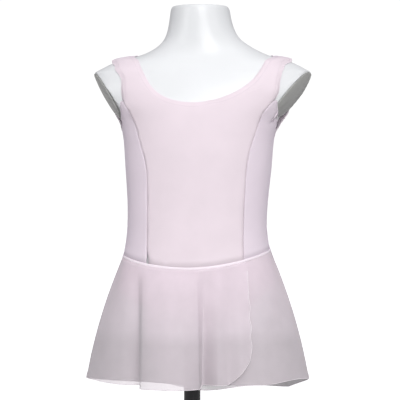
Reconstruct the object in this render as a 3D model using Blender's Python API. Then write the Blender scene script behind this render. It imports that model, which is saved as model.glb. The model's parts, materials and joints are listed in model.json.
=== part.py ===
"""A child's ballet leotard with a wrap skirt of chiffon, on a limbless dress form with a pole and a base.

Metres, +Z up, the wearer's front towards -Y. The origin is the centre of the base's underside.
"""

import math
from collections import namedtuple

import bmesh
import bpy
import numpy as np
from mathutils import Matrix, Vector

# Cloth and seams
JERSEY = 0.0012  # wall of the leotard
CHIFFON = 0.0010  # wall of the skirt
EASE = 0.0018  # from the form to the leotard's inner face
SEAM_GAP = 0.0003  # from one piece to the next where they are sewn
SEAM_TURN = 0.14  # half the gap at an upright seam, in degrees round the body
SHOULDER_SEAM_TURN = 0.24  # the same at the top of the shoulder, where the form is thin

# Heights on the standing form
FORM_BASE = 0.234  # cut ends of the thigh stubs
CROTCH = 0.244  # roof of the channel between the thigh stubs
ARMPIT = 0.5285
NECK_LOW_FRONT = 0.5688  # lowest point of the front neckline
NECK_LOW_BACK = 0.5600
HIP_SEAM_SIDE = 0.347  # the seam that holds the skirt, at the side seams
HIP_SEAM_DIP_FRONT = 0.021  # how far that seam dips at the centre front
HIP_SEAM_DIP_BACK = 0.012

# Half widths where the straps cross the top of the shoulder
STRAP_INNER = 0.0958
STRAP_OUTER = 0.1280

# The garment sits a little askew on the form: higher on the wearer's left
LEAN = 0.040  # rise for each metre across, at the hip seam
LEAN_LOW = 0.340
LEAN_NONE = 0.600  # height from which nothing leans

# Stand
POLE_RADIUS = 0.0125
BODY_PLACE = (0.0105, -0.0060, 0.0)  # the form's axis, from the pole's
POLE_SOCKET_DEPTH = 0.030  # how far the pole goes up into the form
POLE_CLEARANCE = 0.0003
BASE_RADIUS = 0.140
BASE_THICKNESS = 0.006
HUB_RADIUS = 0.021
HUB_HEIGHT = 0.026

# How finely each thing is divided
FORM_COLUMNS = 48
CENTRE_COLUMNS = 6  # half of the centre front
SIDE_COLUMNS = 7
BACK_COLUMNS = 10  # half of the back
BODICE_ROWS_WAIST = 3  # from the hip seam to where the princess seam starts to curve
BODICE_ROWS_CHEST = 6  # from there to where it meets the armhole
BODICE_ROWS_NECK = 2  # from there to the lowest point of the neckline, at the centre
BODICE_ROWS_STRAP = 14  # and on to the shoulder seam
BRIEF_COLUMNS = 8
BRIEF_ROWS_OPENING = 9  # along the leg opening
BRIEF_ROWS_SIDE = 2  # up the side seam
SKIRT_COLUMN_LENGTH = 0.022  # longest stretch of hem that one column of the skirt takes
SKIRT_COLUMN_BEND = 0.70  # and how far its hem may bend, in radians
SKIRT_COLUMN_CORNER = 0.009  # the same as the length, at the round corners
SKIRT_ROWS = (0.0, 0.07, 0.16, 0.27, 0.39, 0.52, 0.66, 0.83, 1.0)

# Level slices of the form. middle is how far each stands to the wearer's left of the body's axis.
Section = namedtuple("Section", "height half_width front back squareness middle")
FORM_SECTIONS = (
    Section(0.234, 0.1125, 0.0690, 0.0790, 2.30, -0.0025),
    Section(0.262, 0.1155, 0.0730, 0.0850, 2.30, -0.0025),
    Section(0.292, 0.1155, 0.0750, 0.0850, 2.30, -0.0025),
    Section(0.326, 0.1100, 0.0750, 0.0775, 2.28, -0.0025),
    Section(0.352, 0.1055, 0.0740, 0.0715, 2.25, -0.0025),
    Section(0.377, 0.1009, 0.0730, 0.0675, 2.25, -0.0034),
    Section(0.401, 0.1004, 0.0720, 0.0655, 2.25, -0.0029),
    Section(0.427, 0.1022, 0.0715, 0.0660, 2.25, -0.0020),
    Section(0.452, 0.1045, 0.0720, 0.0680, 2.28, -0.0014),
    Section(0.476, 0.1067, 0.0727, 0.0710, 2.30, -0.0008),
    Section(0.502, 0.1084, 0.0732, 0.0740, 2.30, -0.0006),
    Section(0.521, 0.1102, 0.0728, 0.0762, 2.32, -0.0004),
    Section(0.531, 0.1129, 0.0724, 0.0768, 2.34, 0.0000),
    Section(0.543, 0.1155, 0.0714, 0.0772, 2.37, 0.0010),
    Section(0.5495, 0.1190, 0.0707, 0.0770, 2.38, 0.0014),
    Section(0.5615, 0.1350, 0.0690, 0.0762, 2.40, 0.0024),
    Section(0.5765, 0.1515, 0.0664, 0.0746, 2.41, 0.0036),
    Section(0.5915, 0.1635, 0.0635, 0.0725, 2.42, 0.0048),
    Section(0.6165, 0.1640, 0.0570, 0.0680, 2.32, 0.0056),
    Section(0.6225, 0.1530, 0.0550, 0.0660, 2.25, 0.0056),
    Section(0.6285, 0.1425, 0.0530, 0.0640, 2.20, 0.0060),
    Section(0.634, 0.1290, 0.0515, 0.0615, 2.14, 0.0064),
    Section(0.6385, 0.1120, 0.0502, 0.0590, 2.10, 0.0070),
    Section(0.6425, 0.0975, 0.0492, 0.0565, 2.07, 0.0080),
    Section(0.6478, 0.0850, 0.0485, 0.0540, 2.05, 0.0086),
    Section(0.6538, 0.0735, 0.0478, 0.0510, 2.02, 0.0080),
    Section(0.660, 0.0650, 0.0475, 0.0475, 2.00, 0.0068),
    Section(0.666, 0.0577, 0.0477, 0.0445, 2.00, 0.0052),
    Section(0.678, 0.0510, 0.0482, 0.0395, 2.00, 0.0034),
    Section(0.696, 0.0465, 0.0500, 0.0340, 2.00, 0.0022),
    Section(0.7125, 0.0442, 0.0515, 0.0310, 2.00, 0.0018),
    Section(0.716, 0.0412, 0.0485, 0.0280, 2.00, 0.0018),
)
FORM_RINGS = (
    0.234, 0.250, 0.270, 0.292, 0.315, 0.340, 0.370, 0.400, 0.430, 0.460, 0.490, 0.513, 0.529, 0.536,
    0.543, 0.552, 0.5615, 0.575, 0.590, 0.602, 0.611, 0.6165, 0.6205, 0.6245, 0.6285, 0.6325, 0.6365,
    0.6405, 0.6445, 0.649, 0.655, 0.661, 0.668, 0.680, 0.696, 0.7115, 0.7145, 0.716,
)

# The slanting cuts that end the shoulders: uppermost and armpit point of each, and its turn to the front
ArmCut = namedtuple("ArmCut", "side top_out top_height low_out low_height forward")
ARM_CUTS = (
    ArmCut("left", 0.1646, 0.6155, 0.1136, 0.5475, math.radians(15.0)),
    ArmCut("right", -0.1550, 0.6145, -0.1152, 0.5440, math.radians(10.5)),
)
ARM_PLATE_THICKNESS = 0.0020
ARM_PLATE_SHARE = 0.965  # of the cut face that the plate covers
ARM_PLATE_SIDES = 28

# The garment's lines, as distance from the centre and height, on the wearer's left half
Mark = namedtuple("Mark", "out height")
PRINCESS_SEAM = (
    Mark(0.0685, 0.352),
    Mark(0.0693, 0.388),
    Mark(0.0703, 0.428),
    Mark(0.0712, 0.476),
    Mark(0.0745, 0.498),
    Mark(0.0791, 0.5125),
    Mark(0.0847, 0.5275),
    Mark(0.0899, 0.546),
    Mark(0.0983, 0.563),
    Mark(0.1133, 0.5757),
)
ARMHOLE_FRONT = (
    Mark(0.1143, 0.5850),
    Mark(0.1160, 0.6000),
    Mark(0.1200, 0.6120),
    Mark(0.1230, 0.6216),
    Mark(0.1262, 0.6285),
)
ARMHOLE_BACK = (
    Mark(0.1190, 0.5760),
    Mark(0.1200, 0.5930),
    Mark(0.1215, 0.6080),
    Mark(0.1245, 0.6200),
    Mark(0.1268, 0.6285),
)
NECKLINE_FRONT = (
    Mark(0.0160, 0.5700),
    Mark(0.0315, 0.5730),
    Mark(0.0465, 0.5780),
    Mark(0.0595, 0.5852),
    Mark(0.0676, 0.5915),
    Mark(0.0745, 0.5985),
    Mark(0.0809, 0.6065),
    Mark(0.0878, 0.6175),
    Mark(0.0920, 0.6270),
    Mark(0.0952, 0.6350),
)
NECKLINE_BACK = (
    Mark(0.0220, 0.5615),
    Mark(0.0420, 0.5670),
    Mark(0.0600, 0.5770),
    Mark(0.0740, 0.5920),
    Mark(0.0840, 0.6090),
    Mark(0.0915, 0.6250),
    Mark(0.0960, 0.6360),
)
ARMHOLE_UNDER_FRONT = (
    Mark(0.1143, 0.5445),
    Mark(0.1146, 0.5500),
    Mark(0.1144, 0.5570),
    Mark(0.1141, 0.5650),
)
# At the back the armhole runs along the side, so these are degrees from the side seam, and height
Turned = namedtuple("Turned", "turn height")
ARMHOLE_UNDER_BACK = (Turned(7.0, 0.5320), Turned(13.0, 0.5400), Turned(18.5, 0.5500), Turned(23.0, 0.5620))
LEG_OPENING_FRONT = (Mark(0.1020, 0.2880), Mark(0.0760, 0.2690), Mark(0.0420, 0.2560))
LEG_OPENING_BACK = (Mark(0.1080, 0.2830), Mark(0.0860, 0.2650), Mark(0.0480, 0.2550))
LEG_OPENING_SIDE = 0.2975
ARMHOLE_GAPE = 0.0060  # the back stands off the form behind the arm by that much
SHOULDER_EASE = 0.0007  # extra room over the shoulder's edge
STRAP_DOME = 0.0020  # and over the middle of the strap, between its elastic edges
STRAP_MIDDLE = 0.6345  # height of the shoulder there
STRAP_SETTLE = 0.0008  # the strap's inner corner lies that much closer to the form
GUSSET_TOP = 0.2500  # height of the seams that join the crotch gusset
GUSSET_HALF_WIDTH = 0.0125
GUSSET_SHIFT = 0.0205  # the pole pushes the crotch to the wearer's left
GUSSET_SHIFT_FROM = 0.310  # below this height
CHANNEL_HALF_WIDTH = 0.036
NECK_SHIFT = -0.0090  # and the neckline hangs to the wearer's right

# Hem of the skirt, seen from above: a row for each fold, in order round the body.
# waist and hem are degrees round the body from the wearer's left, over the back.
Fold = namedtuple("Fold", "name waist hem reach height")
LEFT_SIDE_FOLD = Fold("left crest", 0, 0.0, 0.1645, 0.1588)
BACK_FOLDS = (
    Fold("left back valley", 17, 19.0, 0.1470, 0.1452),
    Fold("left back crest", 35, 36.5, 0.1600, 0.1385),
    Fold("back valley a", 53, 51.0, 0.1340, 0.1400),
    Fold("back crest a", 69, 67.0, 0.1480, 0.1360),
    Fold("back valley b", 85, 83.0, 0.1260, 0.1375),
    Fold("back crest b", 101, 98.0, 0.1440, 0.1350),
    Fold("back valley c", 116, 114.0, 0.1270, 0.1400),
    Fold("back crest c", 131, 128.0, 0.1510, 0.1430),
    Fold("right back valley", 147, 147.0, 0.1370, 0.1480),
    Fold("right back crest", 163, 163.0, 0.1590, 0.1530),
)
RIGHT_SIDE_FOLD = Fold("right crest", 180, 180.0, 0.1690, 0.1595)
OUTER_WRAP_FOLDS = (
    Fold("right front slope", 197, 197.0, 0.1545, 0.1590),
    Fold("right front dip", 208, 206.2, 0.1470, 0.1580),
    Fold("towards the deep fold", 217, 217.8, 0.1354, 0.1567),
    Fold("deep fold, behind", 224, 226.4, 0.1188, 0.1565),
    Fold("deep fold, edge", 231, 234.5, 0.1376, 0.1530),
    Fold("centre flute", 243, 247.2, 0.1410, 0.1535),
    Fold("centre flute, end", 255, 257.5, 0.1405, 0.1532),
    Fold("second fold, edge", 270.5, 272.5, 0.1281, 0.1545),
    Fold("second fold, behind", 277, 275.0, 0.1004, 0.1580),
    Fold("left flute", 287, 286.0, 0.1190, 0.1588),
    Fold("third fold", 295, 294.0, 0.1185, 0.1585),
    Fold("wrap flute", 302, 300.1, 0.1317, 0.1578),
    Fold("wrap edge", 309.5, 307.2, 0.1356, 0.1575),
    Fold("beyond the wrap edge", 325, 320.0, 0.1430, 0.1575),
    Fold("beyond it", 343, 341.0, 0.1500, 0.1575),
)
INNER_WRAP_FOLDS = (
    Fold("beyond the inner edge", 217, 222.0, 0.1150, 0.1690),
    Fold("inner edge", 232, 236.5, 0.1240, 0.1680),
    Fold("inner flute", 246, 248.0, 0.1290, 0.1640),
    Fold("inner slope", 262, 263.0, 0.1180, 0.1565),
    Fold("inner valley", 277, 276.5, 0.0945, 0.1500),
    Fold("inner slope to the side", 293, 291.5, 0.1100, 0.1530),
    Fold("under the wrap edge", 309.5, 306.5, 0.1290, 0.1585),
    Fold("left front dip", 326, 317.6, 0.1400, 0.1580),
    Fold("left front slope", 343, 338.5, 0.1520, 0.1626),
)
WRAP_EDGE = 309.5  # free edge of the outer wrap, degrees round the waist
INNER_EDGE = 232.0  # free edge of the inner wrap
LAYER_STEP = 0.0017  # from one wrap's middle face to the other's, at the waist
CORNER_WIDTH = 0.037  # the free edges meet the hem in a round corner
CORNER_HEIGHT = 0.043
CORNER_ROUND = 1.25  # 2 is an ellipse and 1 is a straight cut
HIP_ROOM = 0.0012  # extra room for the skirt over the hips, below its top edge
FLARE = 1.44  # how early the skirt stands off the hip: 1 is straight down the side
SKIRT_DROP = 0.0028  # from the hip seam to the skirt's top edge
SEAM_ROLL = 0.0036  # width of the rolled seam above the skirt


def clear_scene():
    for obj in list(bpy.data.objects):
        bpy.data.objects.remove(obj, do_unlink=True)


def material(name, colour, roughness, metallic=0.0, alpha=1.0):
    made = bpy.data.materials.new(name)
    made.use_nodes = True
    shader = made.node_tree.nodes["Principled BSDF"]
    shader.inputs["Base Color"].default_value = (*colour, 1.0)
    shader.inputs["Roughness"].default_value = roughness
    shader.inputs["Metallic"].default_value = metallic
    shader.inputs["Alpha"].default_value = alpha
    return made


def smooth_step(share):
    share = min(1.0, max(0.0, share))
    return share * share * (3 - 2 * share)


def hermite(start, end, start_slope, end_slope, step, share):
    """A cubic between two values, step apart, with the given slopes."""
    s = share
    return (
        start * (2 * s**3 - 3 * s**2 + 1)
        + start_slope * step * (s**3 - 2 * s**2 + s)
        + end * (3 * s**2 - 2 * s**3)
        + end_slope * step * (s**3 - s**2)
    )


def monotone_slopes(places, values):
    """Slopes for a smooth curve through the values that never overshoots them."""
    steps = np.diff(places)
    rises = np.diff(values) / steps
    slopes = np.zeros(len(values))
    slopes[0], slopes[-1] = rises[0], rises[-1]
    for i in range(1, len(values) - 1):
        if rises[i - 1] * rises[i] > 0:
            before = 2 * steps[i] + steps[i - 1]
            after = steps[i] + 2 * steps[i - 1]
            slopes[i] = (before + after) / (before / rises[i - 1] + after / rises[i])
    return slopes


SECTION_HEIGHTS = np.array([section.height for section in FORM_SECTIONS])
SECTION_VALUES = np.array([section[1:] for section in FORM_SECTIONS])
SECTION_SLOPES = np.stack([monotone_slopes(SECTION_HEIGHTS, column) for column in SECTION_VALUES.T], axis=1)


def section_at(height):
    """Half width, front depth, back depth, squareness and middle of the form at a height."""
    height = min(max(height, SECTION_HEIGHTS[0]), SECTION_HEIGHTS[-1])
    i = min(int(np.searchsorted(SECTION_HEIGHTS, height, side="right")) - 1, len(SECTION_HEIGHTS) - 2)
    step = SECTION_HEIGHTS[i + 1] - SECTION_HEIGHTS[i]
    share = (height - SECTION_HEIGHTS[i]) / step
    return hermite(
        SECTION_VALUES[i], SECTION_VALUES[i + 1], SECTION_SLOPES[i], SECTION_SLOPES[i + 1], step, share
    )


def reach_at(polar, height):
    """How far the form reaches from its middle at a height, in a direction seen from above."""
    half_width, front, back, squareness, _ = section_at(height)
    depth = back if math.sin(polar) > 0 else front
    total = (abs(math.cos(polar)) / half_width) ** squareness + (abs(math.sin(polar)) / depth) ** squareness
    return total ** (-1 / squareness)


def torso(turn, height):
    """A point on the form. turn is in degrees: 0 the wearer's left, 90 back, 180 right, 270 front."""
    half_width, front, back, _, middle = section_at(height)
    along, across = math.cos(math.radians(turn)), math.sin(math.radians(turn))
    polar = math.atan2((back if across > 0 else front) * across, half_width * along)
    reach = reach_at(polar, height)
    return Vector((reach * math.cos(polar) + middle, reach * math.sin(polar), height))


def torso_normal(turn, height):
    around = torso(turn + 0.5, height) - torso(turn - 0.5, height)
    step = 0.0008
    upward = torso(turn, height + step) - torso(turn, height - step)
    return around.cross(upward).normalized()


def shifted(turn, height):
    """The turn after the cloth's sideways shift at the crotch and at the neckline."""
    across = math.sin(math.radians(turn))
    shift = GUSSET_SHIFT * smooth_step((GUSSET_SHIFT_FROM - height) / (GUSSET_SHIFT_FROM - GUSSET_TOP))
    if across < 0:
        shift += NECK_SHIFT * smooth_step((height - 0.530) / 0.035) * smooth_step((0.615 - height) / 0.040)
    return turn - math.copysign(across**4, across) * math.degrees(shift / section_at(height)[0])


def stand_off(turn, height):
    """How far the cloth leaves the form: over the shoulder's edge, and at the back beside the lower armhole."""
    from_side = min(turn % 360.0, abs(180.0 - turn % 360.0), 360.0 - turn % 360.0)
    on_top = math.exp(-((from_side / 40.0) ** 2))
    dome = STRAP_DOME * on_top * math.exp(-(((height - STRAP_MIDDLE) / 0.0042) ** 2))
    settle = STRAP_SETTLE * on_top * math.exp(-(((height - 0.645) / 0.004) ** 2))
    shoulder = SHOULDER_EASE * math.exp(-(((height - 0.617) / 0.010) ** 2)) + dome - settle
    if not 0.0 < turn % 360.0 < 180.0 or from_side > 60.0:
        return shoulder
    across = smooth_step(from_side / 10.0) * smooth_step((60.0 - from_side) / 30.0)
    return shoulder + ARMHOLE_GAPE * across * math.exp(-(((height - 0.548) / 0.016) ** 2))


def worn(turn, height, offset):
    """A point of the garment, offset from the form, where the garment's lean and shifts bring it."""
    offset += stand_off(turn, height)
    turn = shifted(turn, height)
    lean = LEAN * min(1.0, max(0.0, (LEAN_NONE - height) / (LEAN_NONE - LEAN_LOW)))
    height += lean * smooth_step((height - GUSSET_TOP) / 0.05) * torso(turn, height).x
    return torso(turn, height) + torso_normal(turn, height) * offset


def turn_at(out, height, back=False):
    """The turn, in the wearer's left half, at which the form is that far out from its middle."""
    low, high = 0.0, 90.0  # measured from the side to the centre
    for _ in range(40):
        turn = (low + high) / 2
        if torso(turn if back else -turn, height).x - section_at(height)[4] > out:
            low = turn
        else:
            high = turn
    return turn if back else 360.0 - turn


def shoulder_height(out):
    """The height of the shoulder's top line at a distance from the middle."""
    low, high = 0.618, 0.665
    for _ in range(40):
        height = (low + high) / 2
        if section_at(height)[0] > out:
            low = height
        else:
            high = height
    return height


def hip_seam(turn):
    """Height of the seam between the leotard and the skirt."""
    across = math.sin(math.radians(turn))
    return HIP_SEAM_SIDE - (HIP_SEAM_DIP_BACK if across > 0 else HIP_SEAM_DIP_FRONT) * across * across


def through(points, count):
    """count evenly spaced points on a smooth curve through the given (turn, height) points."""
    scale = np.array([math.radians(1) * 0.11, 1.0])  # a degree and a metre, as lengths on the cloth
    knots = np.array(points, float)
    ends = [2 * knots[0] - knots[1], *knots, 2 * knots[-1] - knots[-2]]
    fine = []
    for a, b, c, d in zip(ends, ends[1:], ends[2:], ends[3:]):
        fine += [hermite(b, c, (c - a) / 2, (d - b) / 2, 1.0, share) for share in np.linspace(0, 1, 24, False)]
    fine = np.array([*fine, knots[-1]])
    length = np.concatenate([[0], np.cumsum(np.linalg.norm(np.diff(fine * scale, axis=0), axis=1))])
    wanted = np.linspace(0, length[-1], count)
    return np.stack([np.interp(wanted, length, fine[:, k]) for k in range(2)], axis=1)


def marks(table, back=False):
    return [(turn_at(mark.out, mark.height, back), mark.height) for mark in table]


def moved(line, degrees):
    """The line moved round the body, to leave the gap of a seam."""
    return line + np.array([degrees, 0.0])


def mirrored(grid, sum_of_turns=540.0):
    """The same grid on the wearer's right half. The sum is 540 in front and 180 at the back."""
    other = grid.copy()
    other[..., 0] = sum_of_turns - other[..., 0]
    return other


def coons(bottom, top, left, right):
    """A grid of (turn, height) points between four edges. Edges run upwards and away from the left."""
    v = np.linspace(0, 1, len(left))[:, None, None]
    u = np.linspace(0, 1, len(bottom))[None, :, None]
    across = (1 - v) * bottom[None] + v * top[None]
    upward = (1 - u) * left[:, None] + u * right[:, None]
    corners = (1 - u) * (1 - v) * bottom[0] + u * (1 - v) * bottom[-1] + (1 - u) * v * top[0] + u * v * top[-1]
    return across + upward - corners


def merged(grids):
    """All the grids' points, each once, and the faces between them."""
    index, points, faces = {}, [], []
    for grid in grids:
        ids = np.zeros(grid.shape[:2], int)
        for place in np.ndindex(ids.shape):
            key = tuple(np.round(grid[place], 6))
            if key not in index:
                index[key] = len(points)
                points.append(grid[place])
            ids[place] = index[key]
        for row, column in np.ndindex(ids.shape[0] - 1, ids.shape[1] - 1):
            square = ids[row : row + 2, column : column + 2]
            faces.append([int(i) for i in (square[0, 0], square[0, 1], square[1, 1], square[1, 0])])
    return points, faces


def strip_faces(columns, rows, closed=False):
    """Faces between neighbouring lines of rows points each. closed joins the last line to the first."""
    faces = []
    for column in range(columns if closed else columns - 1):
        first, beside = column * rows, (column + 1) % columns * rows
        faces += [[first + row, first + row + 1, beside + row + 1, beside + row] for row in range(rows - 1)]
    return faces


def oriented(faces):
    """The faces turned so that neighbours run the same way round."""
    sides = {}
    for number, face in enumerate(faces):
        for a, b in zip(face, face[1:] + face[:1]):
            sides.setdefault(frozenset((a, b)), []).append(number)
    done, todo = {0}, [0]
    while todo:
        face = faces[todo.pop()]
        for a, b in zip(face, face[1:] + face[:1]):
            for other in set(sides[frozenset((a, b))]) - done:
                neighbour = faces[other]
                if (a, b) in zip(neighbour, neighbour[1:] + neighbour[:1]):
                    neighbour.reverse()
                done.add(other)
                todo.append(other)
    return faces


def add_object(name, mesh, finish):
    """The object of a closed mesh, with its faces pointing out, shaded smooth."""
    shape = bmesh.new()
    shape.from_mesh(mesh)
    bmesh.ops.recalc_face_normals(shape, faces=shape.faces)
    if shape.calc_volume(signed=True) < 0:
        bmesh.ops.reverse_faces(shape, faces=shape.faces)
    shape.to_mesh(mesh)
    shape.free()
    mesh.shade_smooth()
    mesh.set_sharp_from_angle(angle=math.radians(40))
    mesh.materials.append(finish)
    obj = bpy.data.objects.new(name, mesh)
    bpy.context.scene.collection.objects.link(obj)
    return obj


def add_wall(name, outer, inner, faces, finish):
    """A closed wall between an outer and an inner set of points that share the same faces."""
    faces = oriented(faces)
    count = len(outer)
    used = {(a, b) for face in faces for a, b in zip(face, face[1:] + face[:1])}
    rim = [(b, a, a + count, b + count) for a, b in used if (b, a) not in used]
    inside = [[i + count for i in reversed(face)] for face in faces]
    mesh = bpy.data.meshes.new(name)
    mesh.from_pydata([*outer, *inner], [], [*faces, *inside, *sorted(rim)])
    return add_object(name, mesh, finish)


def add_worn_panel(name, grids, finish):
    """A panel of jersey that follows the form, from grids of (turn, height)."""
    points, faces = merged(grids)
    outer = [worn(turn, height, EASE + JERSEY) for turn, height in points]
    inner = [worn(turn, height, EASE) for turn, height in points]
    return add_wall(name, outer, inner, faces, finish)


def hip_edge(from_turn, to_turn, count, above):
    """The bottom edge of the bodice, or the top edge of the briefs, along the hip seam."""
    gap = SEAM_GAP if above else -SEAM_GAP
    return np.array([(turn, hip_seam(turn) + gap) for turn in np.linspace(from_turn, to_turn, count)])


def bodice_edge(waist, chest):
    """An upright edge from the hip seam: the waist's points, then the chest's, which start at its last."""
    low = through(waist, BODICE_ROWS_WAIST + 1)
    return np.concatenate([low[:-1], through([low[-1], *chest], BODICE_ROWS_CHEST + 1)])


def princess_line():
    """The princess seam of the wearer's left half, from the hip seam to the armhole."""
    start = turn_at(PRINCESS_SEAM[0].out, HIP_SEAM_SIDE)
    line = [(start, hip_seam(start) + SEAM_GAP), *marks(PRINCESS_SEAM[1:])]
    return bodice_edge(line[:4], line[4:])


def side_seam(turn):
    return bodice_edge([(turn, HIP_SEAM_SIDE + SEAM_GAP), (turn, 0.455)], [(turn, ARMPIT)])


def shoulder_seam(turn, count):
    """Along the top of the shoulder, from the neckline to the armhole, at a turn next to the side."""
    inner, outer = shoulder_height(STRAP_INNER), shoulder_height(STRAP_OUTER)
    return np.array([(turn, height) for height in np.linspace(inner, outer, count)])


def strap_inner_edge(start, neck_low, neckline, shoulder):
    """Up the centre to the neckline's lowest point, then along the neckline to the shoulder."""
    centre = through([start, neck_low], BODICE_ROWS_NECK + 1)
    neck = through([neck_low, *neckline, shoulder], BODICE_ROWS_STRAP + 1)
    return np.concatenate([centre[:-1], neck])


def build_centre_front(finish):
    """Centre front with both front straps, in one piece, between the two princess seams."""
    side = moved(princess_line(), -SEAM_TURN)
    bottom = hip_edge(270.0, side[0][0], CENTRE_COLUMNS + 1, True)
    middle = through([(270.0, 0.546), (286.0, 0.551), (301.0, 0.562), side[-1]], CENTRE_COLUMNS + 1)
    centre = bodice_edge([bottom[0], (270.0, 0.465)], [middle[0]])
    shoulder = shoulder_seam(360.0 - SHOULDER_SEAM_TURN, CENTRE_COLUMNS + 1)
    inner = strap_inner_edge(middle[0], (270.0, NECK_LOW_FRONT), marks(NECKLINE_FRONT), shoulder[0])
    outer = through([side[-1], *marks(ARMHOLE_FRONT), shoulder[-1]], len(inner))
    halves = [coons(bottom, middle, centre, side), coons(middle, shoulder, inner, outer)]
    add_worn_panel("front_centre", halves + [mirrored(half) for half in halves], finish)


def build_side_fronts(finish):
    """The two side fronts, from the princess seam to the side seam and up to the armhole."""
    princess = moved(princess_line(), SEAM_TURN)
    side = side_seam(360.0 - SEAM_TURN)
    bottom = hip_edge(princess[0][0], side[0][0], SIDE_COLUMNS + 1, True)
    armhole = through([princess[-1], *reversed(marks(ARMHOLE_UNDER_FRONT)), side[-1]], SIDE_COLUMNS + 1)
    grid = coons(bottom, armhole, princess, side)
    add_worn_panel("front_side_left", [grid], finish)
    add_worn_panel("front_side_right", [mirrored(grid)], finish)


def build_back(finish):
    """The plain back with its straps, in one piece from side seam to side seam."""
    side = side_seam(SEAM_TURN)
    bottom = hip_edge(90.0, SEAM_TURN, BACK_COLUMNS + 1, True)
    middle = through([(90.0, 0.533), (60.0, 0.533), (30.0, 0.531), side[-1]], BACK_COLUMNS + 1)
    centre = bodice_edge([bottom[0], (90.0, 0.455)], [middle[0]])
    shoulder = shoulder_seam(SHOULDER_SEAM_TURN, BACK_COLUMNS + 1)
    inner = strap_inner_edge(middle[0], (90.0, NECK_LOW_BACK), marks(NECKLINE_BACK, True), shoulder[0])
    under = [(mark.turn, mark.height) for mark in ARMHOLE_UNDER_BACK]
    outer = through([side[-1], *under, *marks(ARMHOLE_BACK, True), shoulder[-1]], len(inner))
    halves = [coons(bottom, middle, centre, side), coons(middle, shoulder, inner, outer)]
    add_worn_panel("back", halves + [mirrored(half, 180.0) for half in halves], finish)


def brief_half(side_turn, centre_turn, leg_opening, back):
    """Half of the front or back of the briefs, from the hip seam down to the gusset."""
    gusset_turn = turn_at(GUSSET_HALF_WIDTH, GUSSET_TOP, back)
    top = hip_edge(centre_turn, side_turn, BRIEF_COLUMNS + 1, False)
    bottom = np.array([(turn, GUSSET_TOP) for turn in np.linspace(centre_turn, gusset_turn, BRIEF_COLUMNS + 1)])
    centre = through([bottom[0], top[0]], BRIEF_ROWS_OPENING + BRIEF_ROWS_SIDE + 1)
    side_low = (side_turn, LEG_OPENING_SIDE)
    opening = [bottom[-1], *reversed(marks(leg_opening, back)), side_low]
    side = np.concatenate([
        through(opening, BRIEF_ROWS_OPENING + 1),
        through([side_low, top[-1]], BRIEF_ROWS_SIDE + 1)[1:],
    ])
    return coons(bottom, top, centre, side)


def build_briefs(finish):
    """Front and back of the briefs below the hip seam, with high cut leg openings."""
    front = brief_half(360.0 - SEAM_TURN, 270.0, LEG_OPENING_FRONT, False)
    back = brief_half(SEAM_TURN, 90.0, LEG_OPENING_BACK, True)
    add_worn_panel("briefs_front", [front, mirrored(front)], finish)
    add_worn_panel("briefs_back", [back, mirrored(back, 180.0)], finish)


def gusset_line(from_centre, offset):
    """One lengthwise line of the gusset: down the front, round the form's edge, under it and up the back."""
    top = GUSSET_TOP - 2 * SEAM_GAP
    halves = []
    for way, turn in ((-1, 270.0 + from_centre), (1, 90.0 - from_centre)):
        turn = shifted(turn, GUSSET_TOP)
        corner = torso(turn, CROTCH)
        half = [torso(turn, top) + torso_normal(turn, top) * offset]
        for angle in (0.0, math.radians(30), math.radians(60), math.radians(90)):
            half.append(corner + Vector((0.0, way * math.cos(angle), -math.sin(angle))) * offset)
        halves.append(half)
    front, back = halves
    under = [front[-1].lerp(back[-1], share) for share in (0.3, 0.5, 0.7)]
    return [*front, *under, *reversed(back)]


def build_gusset(finish):
    """The strip between the legs, beside the pole."""
    half = turn_at(GUSSET_HALF_WIDTH, GUSSET_TOP) - 270.0
    places = np.linspace(-half, half, 5)
    outer = [gusset_line(place, EASE + JERSEY) for place in places]
    inner = [gusset_line(place, EASE) for place in places]
    faces = strip_faces(len(places), len(outer[0]))
    add_wall("briefs_gusset", sum(outer, []), sum(inner, []), faces, finish)


def fold_curve(folds):
    """The hem's closed loop through its folds: a function from the turn at the waist to a point."""
    waist = np.array([fold.waist for fold in folds], float)
    loop = np.array([
        (
            fold.reach * math.cos(math.radians(fold.hem)),
            fold.reach * math.sin(math.radians(fold.hem)),
            fold.height,
        )
        for fold in folds
    ])
    waist = np.concatenate([waist[-2:] - 360, waist, waist[:2] + 360])
    loop = np.concatenate([loop[-2:], loop, loop[:2]])
    slopes = np.zeros_like(loop)
    slopes[1:-1] = (loop[2:] - loop[:-2]) / (waist[2:] - waist[:-2])[:, None]

    def at(turn):
        turn %= 360.0
        i = min(int(np.searchsorted(waist, turn, side="right")) - 1, len(waist) - 3)
        step = waist[i + 1] - waist[i]
        return hermite(loop[i], loop[i + 1], slopes[i], slopes[i + 1], step, (turn - waist[i]) / step)

    return at


def clear_of_hips(place, room):
    """The point moved outwards, if need be, to leave room over the form."""
    if place.z < FORM_BASE:
        return place
    middle = section_at(place.z)[4]
    reach = math.hypot(place.x - middle, place.y)
    least = reach_at(math.atan2(place.y, place.x - middle), place.z) + room
    soft = 0.003
    close = max(0.0, soft - abs(reach - least)) / soft
    wanted = max(reach, least) + close * close * soft / 4
    return Vector(((place.x - middle) * wanted / reach + middle, place.y * wanted / reach, place.z))


def skirt_point(turn, share, hem, lift):
    """The middle of the skirt's cloth, share of the way from the hip seam to the hem."""
    start = EASE + JERSEY + SEAM_GAP + CHIFFON / 2 + lift(turn)
    top = worn(turn % 360.0, hip_seam(turn) - SKIRT_DROP, start)
    end = Vector(hem(turn))
    flare = FLARE * share - (FLARE - 1) * share * share
    place = Vector((*top.lerp(end, flare).xy, top.lerp(end, share).z))
    return clear_of_hips(place, start + HIP_ROOM * smooth_step(8 * share))


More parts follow.
